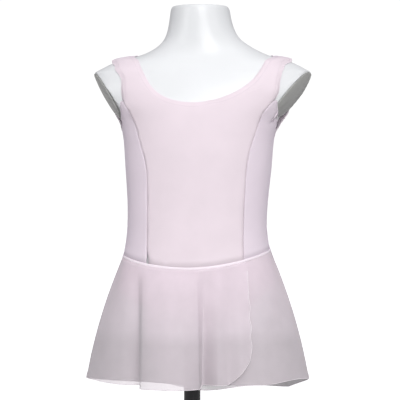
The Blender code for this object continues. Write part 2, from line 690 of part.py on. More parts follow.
def hem_share(turn, free_edge, hem, lift):
    """How far down the cloth goes at this turn: less near a free edge, whose corner is round."""
    place = skirt_point(turn, 1.0, hem, lift)
    away = (skirt_point(free_edge, 1.0, hem, lift) - place).length / CORNER_WIDTH
    if away >= 1:
        return 1.0
    missing = CORNER_HEIGHT * (1 - (1 - (1 - away) ** CORNER_ROUND) ** (1 / CORNER_ROUND))
    return 1.0 - missing / (skirt_point(turn, 0.0, hem, lift).z - place.z)


def skirt_columns(start, end, free_edge, hem):
    """Turns between start and end, closer together where the hem bends and at a round corner."""
    fine = np.linspace(start, end, 500)
    plan = np.array([hem(turn)[:2] for turn in fine])
    steps = np.diff(plan, axis=0)
    length = np.linalg.norm(steps, axis=1)
    heading = np.unwrap(np.arctan2(steps[:, 1], steps[:, 0]))
    cost = length / SKIRT_COLUMN_LENGTH + np.abs(np.diff(heading, prepend=heading[0])) / SKIRT_COLUMN_BEND
    if free_edge is not None:
        corner = np.linalg.norm(plan[1:] - hem(free_edge)[:2], axis=1) < CORNER_WIDTH
        cost += corner * length / SKIRT_COLUMN_CORNER
    total = np.concatenate([[0], np.cumsum(cost)])
    return np.interp(np.linspace(0, total[-1], math.ceil(total[-1]) + 1), total, fine)


def build_skirt_panel(name, start, end, free_edge, hem, lift, finish):
    """One panel of chiffon, from one turn at the waist to another."""
    turns = skirt_columns(start, end, free_edge, hem)
    outer, inner = [], []
    for turn in turns:
        bottom = 1.0 if free_edge is None else hem_share(turn, free_edge, hem, lift)
        for share in [row * bottom for row in SKIRT_ROWS]:
            place = skirt_point(turn, share, hem, lift)
            around = skirt_point(turn + 0.3, share, hem, lift) - skirt_point(turn - 0.3, share, hem, lift)
            downward = skirt_point(turn, share + 0.01, hem, lift) - place
            out = downward.cross(around).normalized()
            outer.append(place + out * (CHIFFON / 2))
            inner.append(place - out * (CHIFFON / 2))
    add_wall(name, outer, inner, strip_faces(len(turns), len(SKIRT_ROWS)), finish)


def build_skirt(finish):
    """The outer wrap over the inner wrap in front, and a plain back. Both wraps end in a free edge."""
    outer_hem = fold_curve([LEFT_SIDE_FOLD, *BACK_FOLDS, RIGHT_SIDE_FOLD, *OUTER_WRAP_FOLDS])
    inner_hem = fold_curve([LEFT_SIDE_FOLD, *BACK_FOLDS, RIGHT_SIDE_FOLD, *INNER_WRAP_FOLDS])

    def over(turn):
        return LAYER_STEP * smooth_step((turn - 190.0) / 25.0)

    def flat(turn):
        return 0.0

    start, end = 180.0 + SEAM_TURN, 360.0 - SEAM_TURN
    build_skirt_panel("skirt_wrap_outer", start, WRAP_EDGE, WRAP_EDGE, outer_hem, over, finish)
    build_skirt_panel("skirt_wrap_inner", INNER_EDGE, end, INNER_EDGE, inner_hem, flat, finish)
    build_skirt_panel("skirt_back", SEAM_TURN, 180.0 - SEAM_TURN, None, outer_hem, flat, finish)


def build_seam_roll(finish):
    """The rolled seam that stands proud all round above the skirt."""
    columns = 64
    lift = EASE + JERSEY + 2 * SEAM_GAP
    profile = ((0.50, 0.0008), (0.26, 0.0014), (-0.26, 0.0015), (-0.46, 0.0010))  # place across, thickness
    outer, inner = [], []
    for turn in np.linspace(0.0, 360.0, columns, False):
        for share, thickness in profile:
            height = hip_seam(turn) + share * SEAM_ROLL
            outer.append(worn(turn, height, lift + thickness))
            inner.append(worn(turn, height, lift))
    add_wall("hip_seam_roll", outer, inner, strip_faces(columns, len(profile), True), finish)


def add_cutter(name, shape):
    """A hidden helper that a Boolean cuts with."""
    bmesh.ops.recalc_face_normals(shape, faces=shape.faces)
    mesh = bpy.data.meshes.new(name)
    shape.to_mesh(mesh)
    shape.free()
    obj = bpy.data.objects.new(name, mesh)
    obj.hide_render = True
    obj.display_type = "WIRE"
    bpy.context.scene.collection.objects.link(obj)
    return obj


def cut(obj, tool):
    boolean = obj.modifiers.new(tool.name, "BOOLEAN")
    boolean.operation = "DIFFERENCE"
    boolean.solver = "EXACT"
    boolean.object = tool


def arm_cut_frame(arm):
    """Middle, downward direction, depth direction and outward normal of a shoulder's cut, and half its length."""
    side = math.copysign(1.0, arm.top_out)
    top = Vector((arm.top_out, 0.0, arm.top_height))
    low = Vector((arm.low_out, 0.0, arm.low_height))
    down = (low - top).normalized()
    depth = Vector((side * math.sin(arm.forward), math.cos(arm.forward), 0.0))
    normal = depth.cross(down).normalized()
    if normal.x * side < 0:
        normal = -normal
    return (top + low) / 2, down, depth, normal, (top - low).length / 2


def arm_cutter(arm):
    """A block whose inner face is the shoulder's slanting cut and whose underside is at the armpit."""
    middle, down, depth, normal, half = arm_cut_frame(arm)
    sideways = Vector((math.copysign(0.09, arm.top_out), 0.0, 0.0))
    shape = bmesh.new()
    rings = []
    for out_high, out_low in ((Vector(), Vector()), (normal * 0.09, sideways)):
        ring = []
        for deep in (depth * -0.12, depth * 0.12):
            ring.append([middle - down * 0.09 + deep + out_high, middle + down * half + deep + out_low])
        rings.append([shape.verts.new(place) for place in (*ring[0], *reversed(ring[1]))])
    shape.faces.new(rings[0])
    shape.faces.new(rings[1])
    for k in range(4):
        beside = (k + 1) % 4
        shape.faces.new([rings[0][k], rings[0][beside], rings[1][beside], rings[1][k]])
    return add_cutter(f"arm_cutter_{arm.side}", shape)


def thigh_channel_cutter():
    """The gap between the thigh stubs, open to the front and back, with its upper corners rounded."""
    shape = bmesh.new()
    depth = 0.05
    size = Matrix.Diagonal((2 * CHANNEL_HALF_WIDTH, 0.4, depth, 1))
    bmesh.ops.create_cube(shape, size=1.0, matrix=Matrix.Translation((0, 0, CROTCH - depth / 2)) @ size)
    upper = [edge for edge in shape.edges if all(vert.co.z > CROTCH - 0.001 for vert in edge.verts)]
    along = [edge for edge in upper if abs(edge.verts[0].co.y - edge.verts[1].co.y) > 0.1]
    bmesh.ops.bevel(shape, geom=along, offset=0.004, segments=3, profile=0.5, affect="EDGES")
    return add_cutter("thigh_channel_cutter", shape)


def pole_socket_cutter():
    shape = bmesh.new()
    radius = POLE_RADIUS + POLE_CLEARANCE
    place = Matrix.Translation((-BODY_PLACE[0], -BODY_PLACE[1], CROTCH))
    bmesh.ops.create_cone(
        shape, cap_ends=True, segments=32, radius1=radius, radius2=radius, depth=2 * POLE_SOCKET_DEPTH, matrix=place
    )
    return add_cutter("pole_socket_cutter", shape)


def build_form(finish):
    """The limbless form: hips, waist, chest, cut shoulders and cut neck in one smooth body."""
    turns = [360.0 * column / FORM_COLUMNS for column in range(FORM_COLUMNS)]
    points = [torso(turn, height) for turn in turns for height in FORM_RINGS]
    rings = len(FORM_RINGS)
    low_cap = [column * rings for column in range(FORM_COLUMNS)]
    high_cap = [column * rings + rings - 1 for column in range(FORM_COLUMNS)]
    mesh = bpy.data.meshes.new("dress_form")
    mesh.from_pydata(points, [], [*strip_faces(FORM_COLUMNS, rings, True), low_cap, high_cap])
    form = add_object("dress_form", mesh, finish)
    for tool in (*map(arm_cutter, ARM_CUTS), thigh_channel_cutter(), pole_socket_cutter()):
        cut(form, tool)


def build_arm_plates(finish):
    """A thin grey plate on each cut shoulder."""
    for arm in ARM_CUTS:
        middle, down, depth, normal, _ = arm_cut_frame(arm)
        outline = []
        for angle in np.linspace(0.0, 2 * math.pi, ARM_PLATE_SIDES, False):
            way = down * math.cos(angle) + depth * math.sin(angle)
            low, high = 0.0, 0.09
            for _ in range(30):
                reach = (low + high) / 2
                place = middle + way * reach
                across = place.x - section_at(place.z)[4]
                inside = math.hypot(across, place.y) < reach_at(math.atan2(place.y, across), place.z)
                if inside and place.z > arm.low_height + 0.003:
                    low = reach
                else:
                    high = reach
            outline.append(middle + way * (low * ARM_PLATE_SHARE))
        near = [place + normal * SEAM_GAP for place in outline]
        far = [place + normal * (SEAM_GAP + ARM_PLATE_THICKNESS) for place in outline]
        add_wall(f"arm_plate_{arm.side}", far, near, [list(range(ARM_PLATE_SIDES))], finish)


def add_turned(name, profile, segments, finish):
    """A solid turned round the pole's axis. profile is its outline as (radius, height)."""
    shape = bmesh.new()
    line = [shape.verts.new((radius, 0, height)) for radius, height in profile]
    edges = [shape.edges.new(pair) for pair in zip(line, line[1:])]
    turn = 2 * math.pi
    bmesh.ops.spin(shape, geom=[*line, *edges], axis=(0, 0, 1), cent=(0, 0, 0), angle=turn, steps=segments)
    bmesh.ops.remove_doubles(shape, verts=shape.verts, dist=1e-6)
    mesh = bpy.data.meshes.new(name)
    shape.to_mesh(mesh)
    shape.free()
    add_object(name, mesh, finish)


def build_stand(finish):
    """A round base plate, a hub on it, and the pole that carries the form."""
    edge = 0.002
    base = [
        (0.0, BASE_THICKNESS),
        (BASE_RADIUS - edge, BASE_THICKNESS),
        (BASE_RADIUS, BASE_THICKNESS - edge),
        (BASE_RADIUS, 0.0),
        (0.0, 0.0),
    ]
    bottom = BASE_THICKNESS + SEAM_GAP
    bore = POLE_RADIUS + POLE_CLEARANCE
    flange = HUB_RADIUS + 0.007
    hub = [
        (bore, bottom + HUB_HEIGHT),
        (HUB_RADIUS - edge, bottom + HUB_HEIGHT),
        (HUB_RADIUS, bottom + HUB_HEIGHT - edge),
        (HUB_RADIUS, bottom + 0.006),
        (flange, bottom + 0.004),
        (flange, bottom),
        (bore, bottom),
        (bore, bottom + HUB_HEIGHT),
    ]
    pole_top = CROTCH + POLE_SOCKET_DEPTH - SEAM_GAP
    pole = [(0.0, pole_top), (POLE_RADIUS, pole_top), (POLE_RADIUS, bottom), (0.0, bottom)]
    add_turned("stand_base", base, 56, finish)
    add_turned("stand_hub", hub, 32, finish)
    add_turned("stand_pole", pole, 32, finish)


def main():
    clear_scene()
    jersey = material("jersey", (0.83, 0.70, 0.78), 0.75)
    chiffon = material("chiffon", (0.84, 0.73, 0.80), 0.70, alpha=0.55)
    shell = material("form_shell", (0.90, 0.91, 0.92), 0.35)
    plate = material("arm_plate", (0.33, 0.33, 0.32), 0.60)
    steel = material("stand_steel", (0.02, 0.02, 0.02), 0.40, metallic=0.3)
    build_form(shell)
    build_arm_plates(plate)
    build_centre_front(jersey)
    build_side_fronts(jersey)
    build_back(jersey)
    build_briefs(jersey)
    build_gusset(jersey)
    build_seam_roll(jersey)
    build_skirt(chiffon)
    for obj in bpy.data.objects:
        obj.location = BODY_PLACE
    build_stand(steel)


main()
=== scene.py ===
# %% [markdown]
# # A child's skirted ballet leotard on a torso form
#
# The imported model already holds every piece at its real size: the panels of the
# leotard as thin walls, the three panels of the chiffon skirt, the form and its
# stand. This file gives them their looks. It takes the outer skin of each wall,
# turns it into a fine sheet of cloth, sews it with stitches, and finishes every
# surface with a procedural material. Every piece stays where the frame has it. Only
# cloth is moved, by a few millimetres, while it is fitted to the form.

# %% Load the frame
import json
import math

import bmesh
import bpy
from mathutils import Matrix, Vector, noise
from mathutils.bvhtree import BVHTree
from mathutils.kdtree import KDTree

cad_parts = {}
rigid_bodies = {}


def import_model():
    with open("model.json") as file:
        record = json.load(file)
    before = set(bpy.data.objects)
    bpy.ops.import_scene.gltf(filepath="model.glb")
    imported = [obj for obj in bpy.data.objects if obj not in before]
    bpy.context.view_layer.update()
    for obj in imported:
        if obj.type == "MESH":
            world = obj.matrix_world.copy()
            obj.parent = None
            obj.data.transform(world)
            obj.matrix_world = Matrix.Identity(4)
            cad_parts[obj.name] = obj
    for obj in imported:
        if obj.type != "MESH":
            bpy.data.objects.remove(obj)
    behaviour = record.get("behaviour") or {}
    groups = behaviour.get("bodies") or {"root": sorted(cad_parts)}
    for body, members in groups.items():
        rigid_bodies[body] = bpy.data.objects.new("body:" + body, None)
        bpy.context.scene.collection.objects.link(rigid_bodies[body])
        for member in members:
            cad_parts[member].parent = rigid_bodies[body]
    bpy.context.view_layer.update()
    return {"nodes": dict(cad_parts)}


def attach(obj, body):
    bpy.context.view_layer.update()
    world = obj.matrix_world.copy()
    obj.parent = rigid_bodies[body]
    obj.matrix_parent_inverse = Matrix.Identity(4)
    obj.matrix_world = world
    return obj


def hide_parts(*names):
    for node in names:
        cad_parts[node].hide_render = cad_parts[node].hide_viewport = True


for leftover in list(bpy.data.objects):
    bpy.data.objects.remove(leftover)
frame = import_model()
nodes = frame["nodes"]
MM = 0.001
print("nodes in the frame:", ", ".join(sorted(nodes)))

# %% [markdown]
# ## Materials
#
# Each finish is one Principled shader. Its colour varies a little with noise, its
# roughness is matched to the real surface, and a small bump carries the knit, the
# weave or the moulded skin. Cloth reads a UV map in metres, which runs round the
# body and up it, so that the ribs of the knit follow the garment.

# %% A helper that starts a material
def new_finish(name, colour, roughness, **sockets):
    """A material with one Principled shader. sockets are its other inputs, with spaces as underscores."""
    finish = bpy.data.materials.new(name)
    finish.use_nodes = True
    shader = finish.node_tree.nodes["Principled BSDF"]
    shader.inputs["Base Color"].default_value = (*colour, 1.0)
    shader.inputs["Roughness"].default_value = roughness
    for socket, value in sockets.items():
        shader.inputs[socket.replace("_", " ")].default_value = value
    return finish


def add_node(finish, kind, values=None, **settings):
    """A node of the material, with its settings and the values of its unlinked inputs."""
    node = finish.node_tree.nodes.new(kind)
    for setting, value in settings.items():
        setattr(node, setting, value)
    for socket, value in (values or {}).items():
        node.inputs[socket].default_value = value
    return node


def join(finish, source, target):
    finish.node_tree.links.new(source, target)


# %% Colour that varies softly over a surface
def mottle(finish, colour, spread, size, place):
    """Lets the colour wander by a share of itself, in patches of a size in metres, and returns it."""
    patches = add_node(finish, "ShaderNodeTexNoise", {"Scale": 1 / size, "Detail": 3.0})
    ramp = add_node(finish, "ShaderNodeValToRGB")
    darker, lighter = ramp.color_ramp.elements
    darker.position = 0.3
    lighter.position = 0.7
    darker.color = (*[part * (1 - spread) for part in colour], 1.0)
    lighter.color = (*[min(1.0, part * (1 + spread)) for part in colour], 1.0)
    join(finish, place, patches.inputs["Vector"])
    join(finish, patches.outputs["Fac"], ramp.inputs["Fac"])
    join(finish, ramp.outputs["Color"], finish.node_tree.nodes["Principled BSDF"].inputs["Base Color"])
    return ramp.outputs["Color"]


# %% Relief from one or more patterns
def relief(finish, patterns):
    """Chains a bump node for each (height socket, depth in metres, strength)."""
    normal = None
    for height, depth, strength in patterns:
        bump = add_node(finish, "ShaderNodeBump", {"Strength": strength, "Distance": depth})
        join(finish, height, bump.inputs["Height"])
        if normal:
            join(finish, normal, bump.inputs["Normal"])
        normal = bump.outputs["Normal"]
    join(finish, normal, finish.node_tree.nodes["Principled BSDF"].inputs["Normal"])


WAVE_PERIOD = 2 * math.pi / 20  # Blender's wave texture repeats after this length at scale 1


def bands(finish, place, pitch, direction):
    """Even ridges, pitch metres apart."""
    wave = add_node(finish, "ShaderNodeTexWave", {"Scale": WAVE_PERIOD / pitch}, bands_direction=direction)
    join(finish, place, wave.inputs["Vector"])
    return wave.outputs["Fac"]


def grain(finish, place, size, detail=2.0):
    """An uneven pattern of a size in metres."""
    speckle = add_node(finish, "ShaderNodeTexNoise", {"Scale": 1 / size, "Detail": detail})
    join(finish, place, speckle.inputs["Vector"])
    return speckle.outputs["Fac"]


# %% [markdown]
# ### Jersey
#
# The leotard is a matt stretch knit in pale pink. Its ribs and rows of loops are finer
# than a millimetre, so a picture of them would blur or repeat. Two wave patterns at
# their true pitch make them instead, as bumps, and a soft noise breaks them up. Sheen
# stands for the fluff that brightens a knit where it turns away from the eye.

# %% Jersey: matt stretch knit, pale pink with a lilac sheen, and a bluer painted shade on the side panels
JERSEY_PINK = (0.866, 0.758, 0.814)
LILAC_SHEEN = (0.86, 0.82, 1.0, 1.0)
WALE = 0.9 * MM  # one upright rib of the knit
COURSE = 0.7 * MM  # one row of its loops
FLUFF = 2.5 * MM  # one tuft of its brushed face


def jersey_finish(name, colour):
    finish = new_finish(name, colour, 0.78, Sheen_Weight=0.20, Sheen_Roughness=0.45, Sheen_Tint=LILAC_SHEEN)
    cloth = add_node(finish, "ShaderNodeUVMap", uv_map="cloth").outputs["UV"]
    mottle(finish, colour, spread=0.018, size=45 * MM, place=cloth)
    ribs = bands(finish, cloth, WALE, "X")
    loops = bands(finish, cloth, COURSE, "Y")
    tufts = grain(finish, cloth, FLUFF)
    relief(finish, [(ribs, 0.10 * MM, 0.30), (loops, 0.06 * MM, 0.25), (tufts, 0.10 * MM, 0.25)])
    return finish


jersey = jersey_finish("jersey_front", JERSEY_PINK)
# the side panels are the same cloth as the front; their bluer tint is painted cool shade
jersey_painted_shade = jersey_finish("jersey_side_painted_shade", (0.865, 0.762, 0.842))
jersey_roll_painted_highlight = jersey_finish("jersey_roll_painted_highlight", (0.97, 0.88, 0.94))  # lighter than the jersey: a painted highlight along the ridge of the roll
print("jersey finishes made")

# %% [markdown]
# ### Chiffon
#
# Chiffon is so open that one sees through it. Its threads could be modelled, but a weave
# of half a millimetre needs millions of faces, and a single sheet with a share of Alpha
# looks the same from a step away. Its colour is painted lighter near the hips, as painted
# light for the white form that shines through there, so it changes with the height.

# %% Chiffon: a sheer, matt, crisp weave
CHIFFON_COVER = 0.68  # share of the light that one layer stops
GATHERED_COVER = 0.86  # and where it is gathered
CHIFFON_THREAD = 0.5 * MM
CRINKLE = 6 * MM  # one small crease of the crisp cloth
HIP_SEAM = 0.335  # height of the seam the skirt hangs from
HEM_LEVEL = 0.150
LOW_TINT = (0.770, 0.695, 0.740)  # where nothing stands behind the cloth
CHIFFON_TINTS_PAINTED_LIGHT = (  # height and colour; higher up the colour is painted light, for the white form shining through
    (0.1572, LOW_TINT),
    (0.1600, LOW_TINT),
    (0.216, LOW_TINT),
    (0.236, (0.875, 0.785, 0.840)),
    (0.270, (0.915, 0.810, 0.872)),
    (0.325, (0.985, 0.860, 0.935)),
)
FULL = (1.0,) * len(CHIFFON_TINTS_PAINTED_LIGHT)  # no tint is dimmed
SHADED_HEM = (0.55, 1.0, 1.0, 1.0, 1.0, 1.0)  # shaded at its lowest
BACK_PAINTED_SHADE = (0.74, 0.74, 0.76, 0.90, 1.0, 1.0)  # painted shade of the skirt's inside, darkest low down


def chiffon_finish(name, cover, shades):
    """A chiffon whose layer stops a share of the light, and whose tints are each dimmed to a share as painted
    shade.
    """
    finish = new_finish(name, LOW_TINT, 0.85, Alpha=cover, Sheen_Weight=0.25, Sheen_Roughness=0.5)
    cloth = add_node(finish, "ShaderNodeUVMap", uv_map="cloth").outputs["UV"]
    patches = mottle(finish, (0.97, 0.97, 0.97), spread=0.03, size=30 * MM, place=cloth)
    up = add_node(finish, "ShaderNodeSeparateXYZ")
    level = add_node(finish, "ShaderNodeMapRange", {"From Min": HEM_LEVEL, "From Max": HIP_SEAM})
    tint = add_node(finish, "ShaderNodeValToRGB")
    while len(tint.color_ramp.elements) < len(CHIFFON_TINTS_PAINTED_LIGHT):
        tint.color_ramp.elements.new(1.0)
    for element, (height, colour), shade in zip(tint.color_ramp.elements, CHIFFON_TINTS_PAINTED_LIGHT, shades):
        element.position = (height - HEM_LEVEL) / (HIP_SEAM - HEM_LEVEL)
        element.color = (*[part * shade for part in colour], 1.0)
    mixed = add_node(finish, "ShaderNodeMix", {"Factor": 1.0}, data_type="RGBA", blend_type="MULTIPLY")
    join(finish, cloth, up.inputs["Vector"])
    join(finish, up.outputs["Y"], level.inputs["Value"])
    join(finish, level.outputs["Result"], tint.inputs["Fac"])
    join(finish, tint.outputs["Color"], mixed.inputs["A"])
    join(finish, patches, mixed.inputs["B"])
    join(finish, mixed.outputs["Result"], finish.node_tree.nodes["Principled BSDF"].inputs["Base Color"])
    warp = bands(finish, cloth, CHIFFON_THREAD, "X")
    weft = bands(finish, cloth, CHIFFON_THREAD, "Y")
    creases = grain(finish, cloth, CRINKLE, detail=4.0)
    relief(finish, [(warp, 0.05 * MM, 0.25), (weft, 0.05 * MM, 0.25), (creases, 0.3 * MM, 0.30)])
    return finish


chiffon = chiffon_finish("chiffon", CHIFFON_COVER, FULL)
chiffon_inner = chiffon_finish("chiffon_inner", CHIFFON_COVER, SHADED_HEM)
chiffon_back = chiffon_finish("chiffon_back", GATHERED_COVER, BACK_PAINTED_SHADE)
print("chiffon made")

# %% [markdown]
# ### Threads and hard finishes
#
# Threads, the form's moulded shell, its arm plates and the black stand have no weave to
# follow. So they read the piece's own Object coordinates, which need no map, and differ
# in colour, roughness and the size of their grain.

# %% Finishes that read the object's own coordinates: thread, turned edges, shell, plates and stand
def plain_finish(name, colour, roughness, grain_size, grain_depth, **sockets):
    """A finish with a soft mottle and a fine grain, for pieces that need no map."""
    finish = new_finish(name, colour, roughness, **sockets)
    place = add_node(finish, "ShaderNodeTexCoord").outputs["Object"]
    mottle(finish, colour, spread=0.012, size=60 * MM, place=place)
    relief(finish, [(grain(finish, place, grain_size), grain_depth, 0.25)])
    return finish


STRAND = 0.3 * MM  # one strand of a thread
STRAND_DEPTH = 0.03 * MM
thread = plain_finish("thread", (0.68, 0.59, 0.65), 0.6, STRAND, STRAND_DEPTH)
# the seam line's colour: thread, darkened as painted shade of the seam's groove
seam_shade = plain_finish("seam_thread_and_painted_shade", (0.78, 0.685, 0.75), 0.8, STRAND, STRAND_DEPTH)
turned_edge = plain_finish(
    "jersey_edge", (0.89, 0.80, 0.855), 0.75, grain_size=0.6 * MM, grain_depth=0.05 * MM, Sheen_Weight=0.3)
hem_thread = plain_finish("hem_thread", (0.84, 0.78, 0.815), 0.65, STRAND, STRAND_DEPTH, Sheen_Weight=0.3)
shell_white = plain_finish(
    "shell_white", (0.86, 0.875, 0.885), 0.34, grain_size=3.0 * MM, grain_depth=0.05 * MM,
    Coat_Weight=0.20, Coat_Roughness=0.18)
plate_grey = plain_finish("plate_grey", (0.40, 0.40, 0.382), 0.62, grain_size=1.2 * MM, grain_depth=0.05 * MM)
stand_black = plain_finish(
    "stand_black", (0.009, 0.009, 0.010), 0.42, grain_size=0.8 * MM, grain_depth=0.02 * MM,
    Specular_IOR_Level=0.25)
print("threads, edges and hard finishes made")

# %% [markdown]
# ## The form
#
# A shop's torso form is one smooth moulded shell. The frame holds it as flat
# facets, so a merged copy is rounded by subdivision, with its cut rims creased so
# that the arm faces, the neck and the thigh stubs keep a crisp edge.

# %% Merge a node's loose triangles into one shape
SAME_POINT = 0.01 * MM


def merged_copy(node):
    """The node's triangles as one connected shape; the frame keeps them loose."""
    shape = bmesh.new()
    shape.from_mesh(nodes[node].data)
    bmesh.ops.remove_doubles(shape, verts=shape.verts, dist=SAME_POINT)
    shape.normal_update()
    return shape


def pair_triangles(shape, angle):
    """Joins triangles into quads where they meet flatter than an angle."""
    bmesh.ops.join_triangles(
        shape, faces=shape.faces, angle_face_threshold=angle, angle_shape_threshold=angle)


def add_piece(name, shape, finish):
    """An object at the origin from a shape, shaded smooth."""
    mesh = bpy.data.meshes.new(name)
    shape.to_mesh(mesh)
    shape.free()
    mesh.shade_smooth()
    mesh.materials.append(finish)
    piece = bpy.data.objects.new(name, mesh)
    bpy.context.scene.collection.objects.link(piece)
    return piece


def bake_modifiers(piece):
    """Replaces the piece's mesh by what its modifiers make of it."""
    graph = bpy.context.evaluated_depsgraph_get()
    mesh = bpy.data.meshes.new_from_object(piece.evaluated_get(graph))
    piece.modifiers.clear()
    piece.data = mesh
    return piece


# %% Round a faceted node
FLAT_ANGLE = math.radians(0.4)  # faces that turn less than this are one face
PAIR_ANGLE = math.radians(35)  # triangles that turn less than this are paired
RIM_ANGLE = math.radians(40)  # an edge that turns more than this stays crisp
RIM_CREASE = 0.75


def rounded_node(name, node, finish, levels):
    """A smooth copy of a node: its triangles are paired, its sharp rims creased, and it is subdivided."""
    shape = merged_copy(node)
    bmesh.ops.dissolve_limit(shape, angle_limit=FLAT_ANGLE, verts=shape.verts, edges=shape.edges)
    pair_triangles(shape, PAIR_ANGLE)
    crease = shape.edges.layers.float.new("crease_edge")
    for edge in shape.edges:
        if edge.calc_face_angle(0.0) > RIM_ANGLE:
            edge[crease] = RIM_CREASE
    piece = add_piece(name, shape, finish)
    rounding = piece.modifiers.new("Round", "SUBSURF")
    rounding.levels = rounding.render_levels = levels
    return bake_modifiers(piece)


form = rounded_node("form_shell", "dress_form", shell_white, 2)
print("form:", len(form.data.polygons), "faces")

# %% [markdown]
# ## From wall to cloth
#
# Each panel of the frame is a closed wall. Its outer skin alone is the sheet that
# was cut and sewn. A face belongs to a skin, and not to the wall's rim, when a ray
# sent straight in leaves the wall again after about its thickness.

# %% Take the outer skin of a wall
BODY_AXIS = Vector((0.0105, -0.0060))  # the middle of the body, seen from above
WALL = 1.2 * MM
RAY_START = 0.02 * MM  # a ray begins that far inside the wall
WEAVE_ANGLE = math.radians(60)  # triangles of a skin that turn less than this are paired


def away_from_form():
    """Says which way is out for cloth that lies on the form."""
    shape = merged_copy("dress_form")
    tree = BVHTree.FromBMesh(shape)
    shape.free()
    return lambda place: tree.find_nearest(place)[1]


def away_from_axis(place):
    return Vector((place.x - BODY_AXIS.x, place.y - BODY_AXIS.y, 0.0)).normalized()


def outer_skin(node, outward):
    """The outer skin of a wall as an open sheet of mostly quads."""
    shape = merged_copy(node)
    tree = BVHTree.FromBMesh(shape)
    drop = []
    for face in shape.faces:
        centre = face.calc_center_median()
        inward = tree.ray_cast(centre - face.normal * RAY_START, -face.normal, 2 * WALL)
        if inward[0] is None or face.normal.dot(outward(centre)) < 0.0:
            drop.append(face)
    bmesh.ops.delete(shape, geom=drop, context="FACES")
    pair_triangles(shape, WEAVE_ANGLE)
    return shape


# %% [markdown]
# A few hundred flat quads would show as facets in the folds. Subdivision rounds them and
# keeps the corners of a panel, where its seams start. A cloth simulation is the other
# way to make drape. But this leotard is stretched smooth over a form and the skirt's
# folds are known from the start, so a simulation would only move them away.

# %% Refine a skin into fine cloth
def refined(name, shape, levels, finish):
    """The sheet as an object, subdivided so that its edges run smooth and its corners stay."""
    piece = add_piece(name, shape, finish)
    smooth = piece.modifiers.new("Refine", "SUBSURF")
    smooth.levels = smooth.render_levels = levels
    smooth.boundary_smooth = "PRESERVE_CORNERS"
    return bake_modifiers(piece)


def unroll(piece, radius):
    """A UV map in metres: round the body at a mean radius, and up."""
    layer = piece.data.uv_layers.new(name="cloth")
    for polygon in piece.data.polygons:
        middle = math.atan2(polygon.center.y - BODY_AXIS.y, polygon.center.x - BODY_AXIS.x)
        for loop in polygon.loop_indices:
            place = piece.data.vertices[piece.data.loops[loop].vertex_index].co
            turn = math.atan2(place.y - BODY_AXIS.y, place.x - BODY_AXIS.x)
            turn += 2 * math.pi * round((middle - turn) / (2 * math.pi))
            layer.data[loop].uv = (turn * radius, place.z)


def area_of(mesh):
    return sum(polygon.area for polygon in mesh.polygons)


def make_panel(node, outward, levels, finish, radius):
    """One panel of the garment as fine cloth with its map."""
    piece = refined(node + "_cloth", outer_skin(node, outward), levels, finish)
    unroll(piece, radius)
    print(f"{node}: {len(piece.data.polygons)} faces, {area_of(piece.data):.4f} m2")
    return piece


# %% [markdown]
# The leotard is cut in seven panels and the skirt in three. The leotard lies on the form,
# so its outer side is the one away from the form's surface. The skirt hangs free, so its
# outer side is the one away from the middle of the body. The back of the skirt is
# gathered and gets a closer chiffon, darkened low down by painted shade of the skirt's inside.

# %% The leotard's panels
TORSO_RADIUS = 100 * MM
on_form = away_from_form()
JERSEY_PANELS = {
    "front_centre": jersey,
    "front_side_left": jersey_painted_shade,
    "front_side_right": jersey_painted_shade,
    "back": jersey,
    "briefs_front": jersey,
    "briefs_back": jersey,
    "briefs_gusset": jersey,
}
panels = {}
for node, finish in JERSEY_PANELS.items():
    panels[node] = make_panel(node, on_form, 2, finish, TORSO_RADIUS)

# %% The skirt's panels
SKIRT_RADIUS = 130 * MM
SKIRT_PANELS = {"skirt_back": chiffon_back, "skirt_wrap_inner": chiffon_inner, "skirt_wrap_outer": chiffon}
for node, finish in SKIRT_PANELS.items():
    panels[node] = make_panel(node, away_from_axis, 3, finish, SKIRT_RADIUS)

# %% [markdown]
# ## Fit
#
# Cloth is fitted by moving the points of its sheets. These searches say where a
# point's neighbours lie, on the same sheet, on another one or on the form.

# %% Measure against neighbours
SEAM_REACH = 1.6 * MM  # edges of two panels that lie this close are sewn together


def surface_of(piece):
    """A search tree over the surface of a piece."""
    points = [vert.co.copy() for vert in piece.data.vertices]
    return BVHTree.FromPolygons(points, [list(polygon.vertices) for polygon in piece.data.polygons])


def surfaces_of_panels():
    return {node: surface_of(piece) for node, piece in panels.items()}


def tree_of(places):
    """A search tree over points, which finds a point by its number in the list."""
    tree = KDTree(len(places))
    for index, place in enumerate(places):
        tree.insert(place, index)
    tree.balance()
    return tree


def sewn_to(surfaces):
    """Says whether a place lies on the seam with any of some sheets."""
    return lambda place: any(surface.find_nearest(place, SEAM_REACH)[0] is not None for surface in surfaces)


def length_of(chain):
    """The length of a row of (place, normal)."""
    return sum((b[0] - a[0]).length for a, b in zip(chain, chain[1:]))


def shape_of(piece):
    shape = bmesh.new()
    shape.from_mesh(piece.data)
    shape.normal_update()
    return shape


def keep_shape(piece, shape):
    shape.to_mesh(piece.data)
    shape.free()


# %% [markdown]
# The leotard was pulled on a little askew. The outer edges of the straps, the armholes
# and the princess seams slide sideways along the form by a few millimetres, each as a
# soft bump of cloth.

# %% Let the leotard sit askew
SLIDES = [  # x, z, reach in x, reach in z and slide to +x, in millimetres
    (-111, 627.5, 10, 9, -6.0),  # outer edge of the wearer's right strap
    (139, 618, 10, 6, -3.6),  # outer edge of the left strap
    (127, 585.5, 10, 9, 2.4),  # left armhole
    (-81.5, 554, 20, 13, -7.0),  # right princess seam, over the bust
    (-66.5, 508, 20, 22, -5.6),  # and under it
    (86.5, 500, 20, 25, 1.8),  # left princess seam
]
CORNER_REACH = 6
CORNER_SLIDE = 4.0  # the strap's inner corners slide away from the neck
LEAST_SLIDE = 0.05
STRAPS_FROM = 0.60  # of the back, only the straps slide
ON_FORM = 0.3 * MM  # nearer to the form than this, its own normal says which way is out

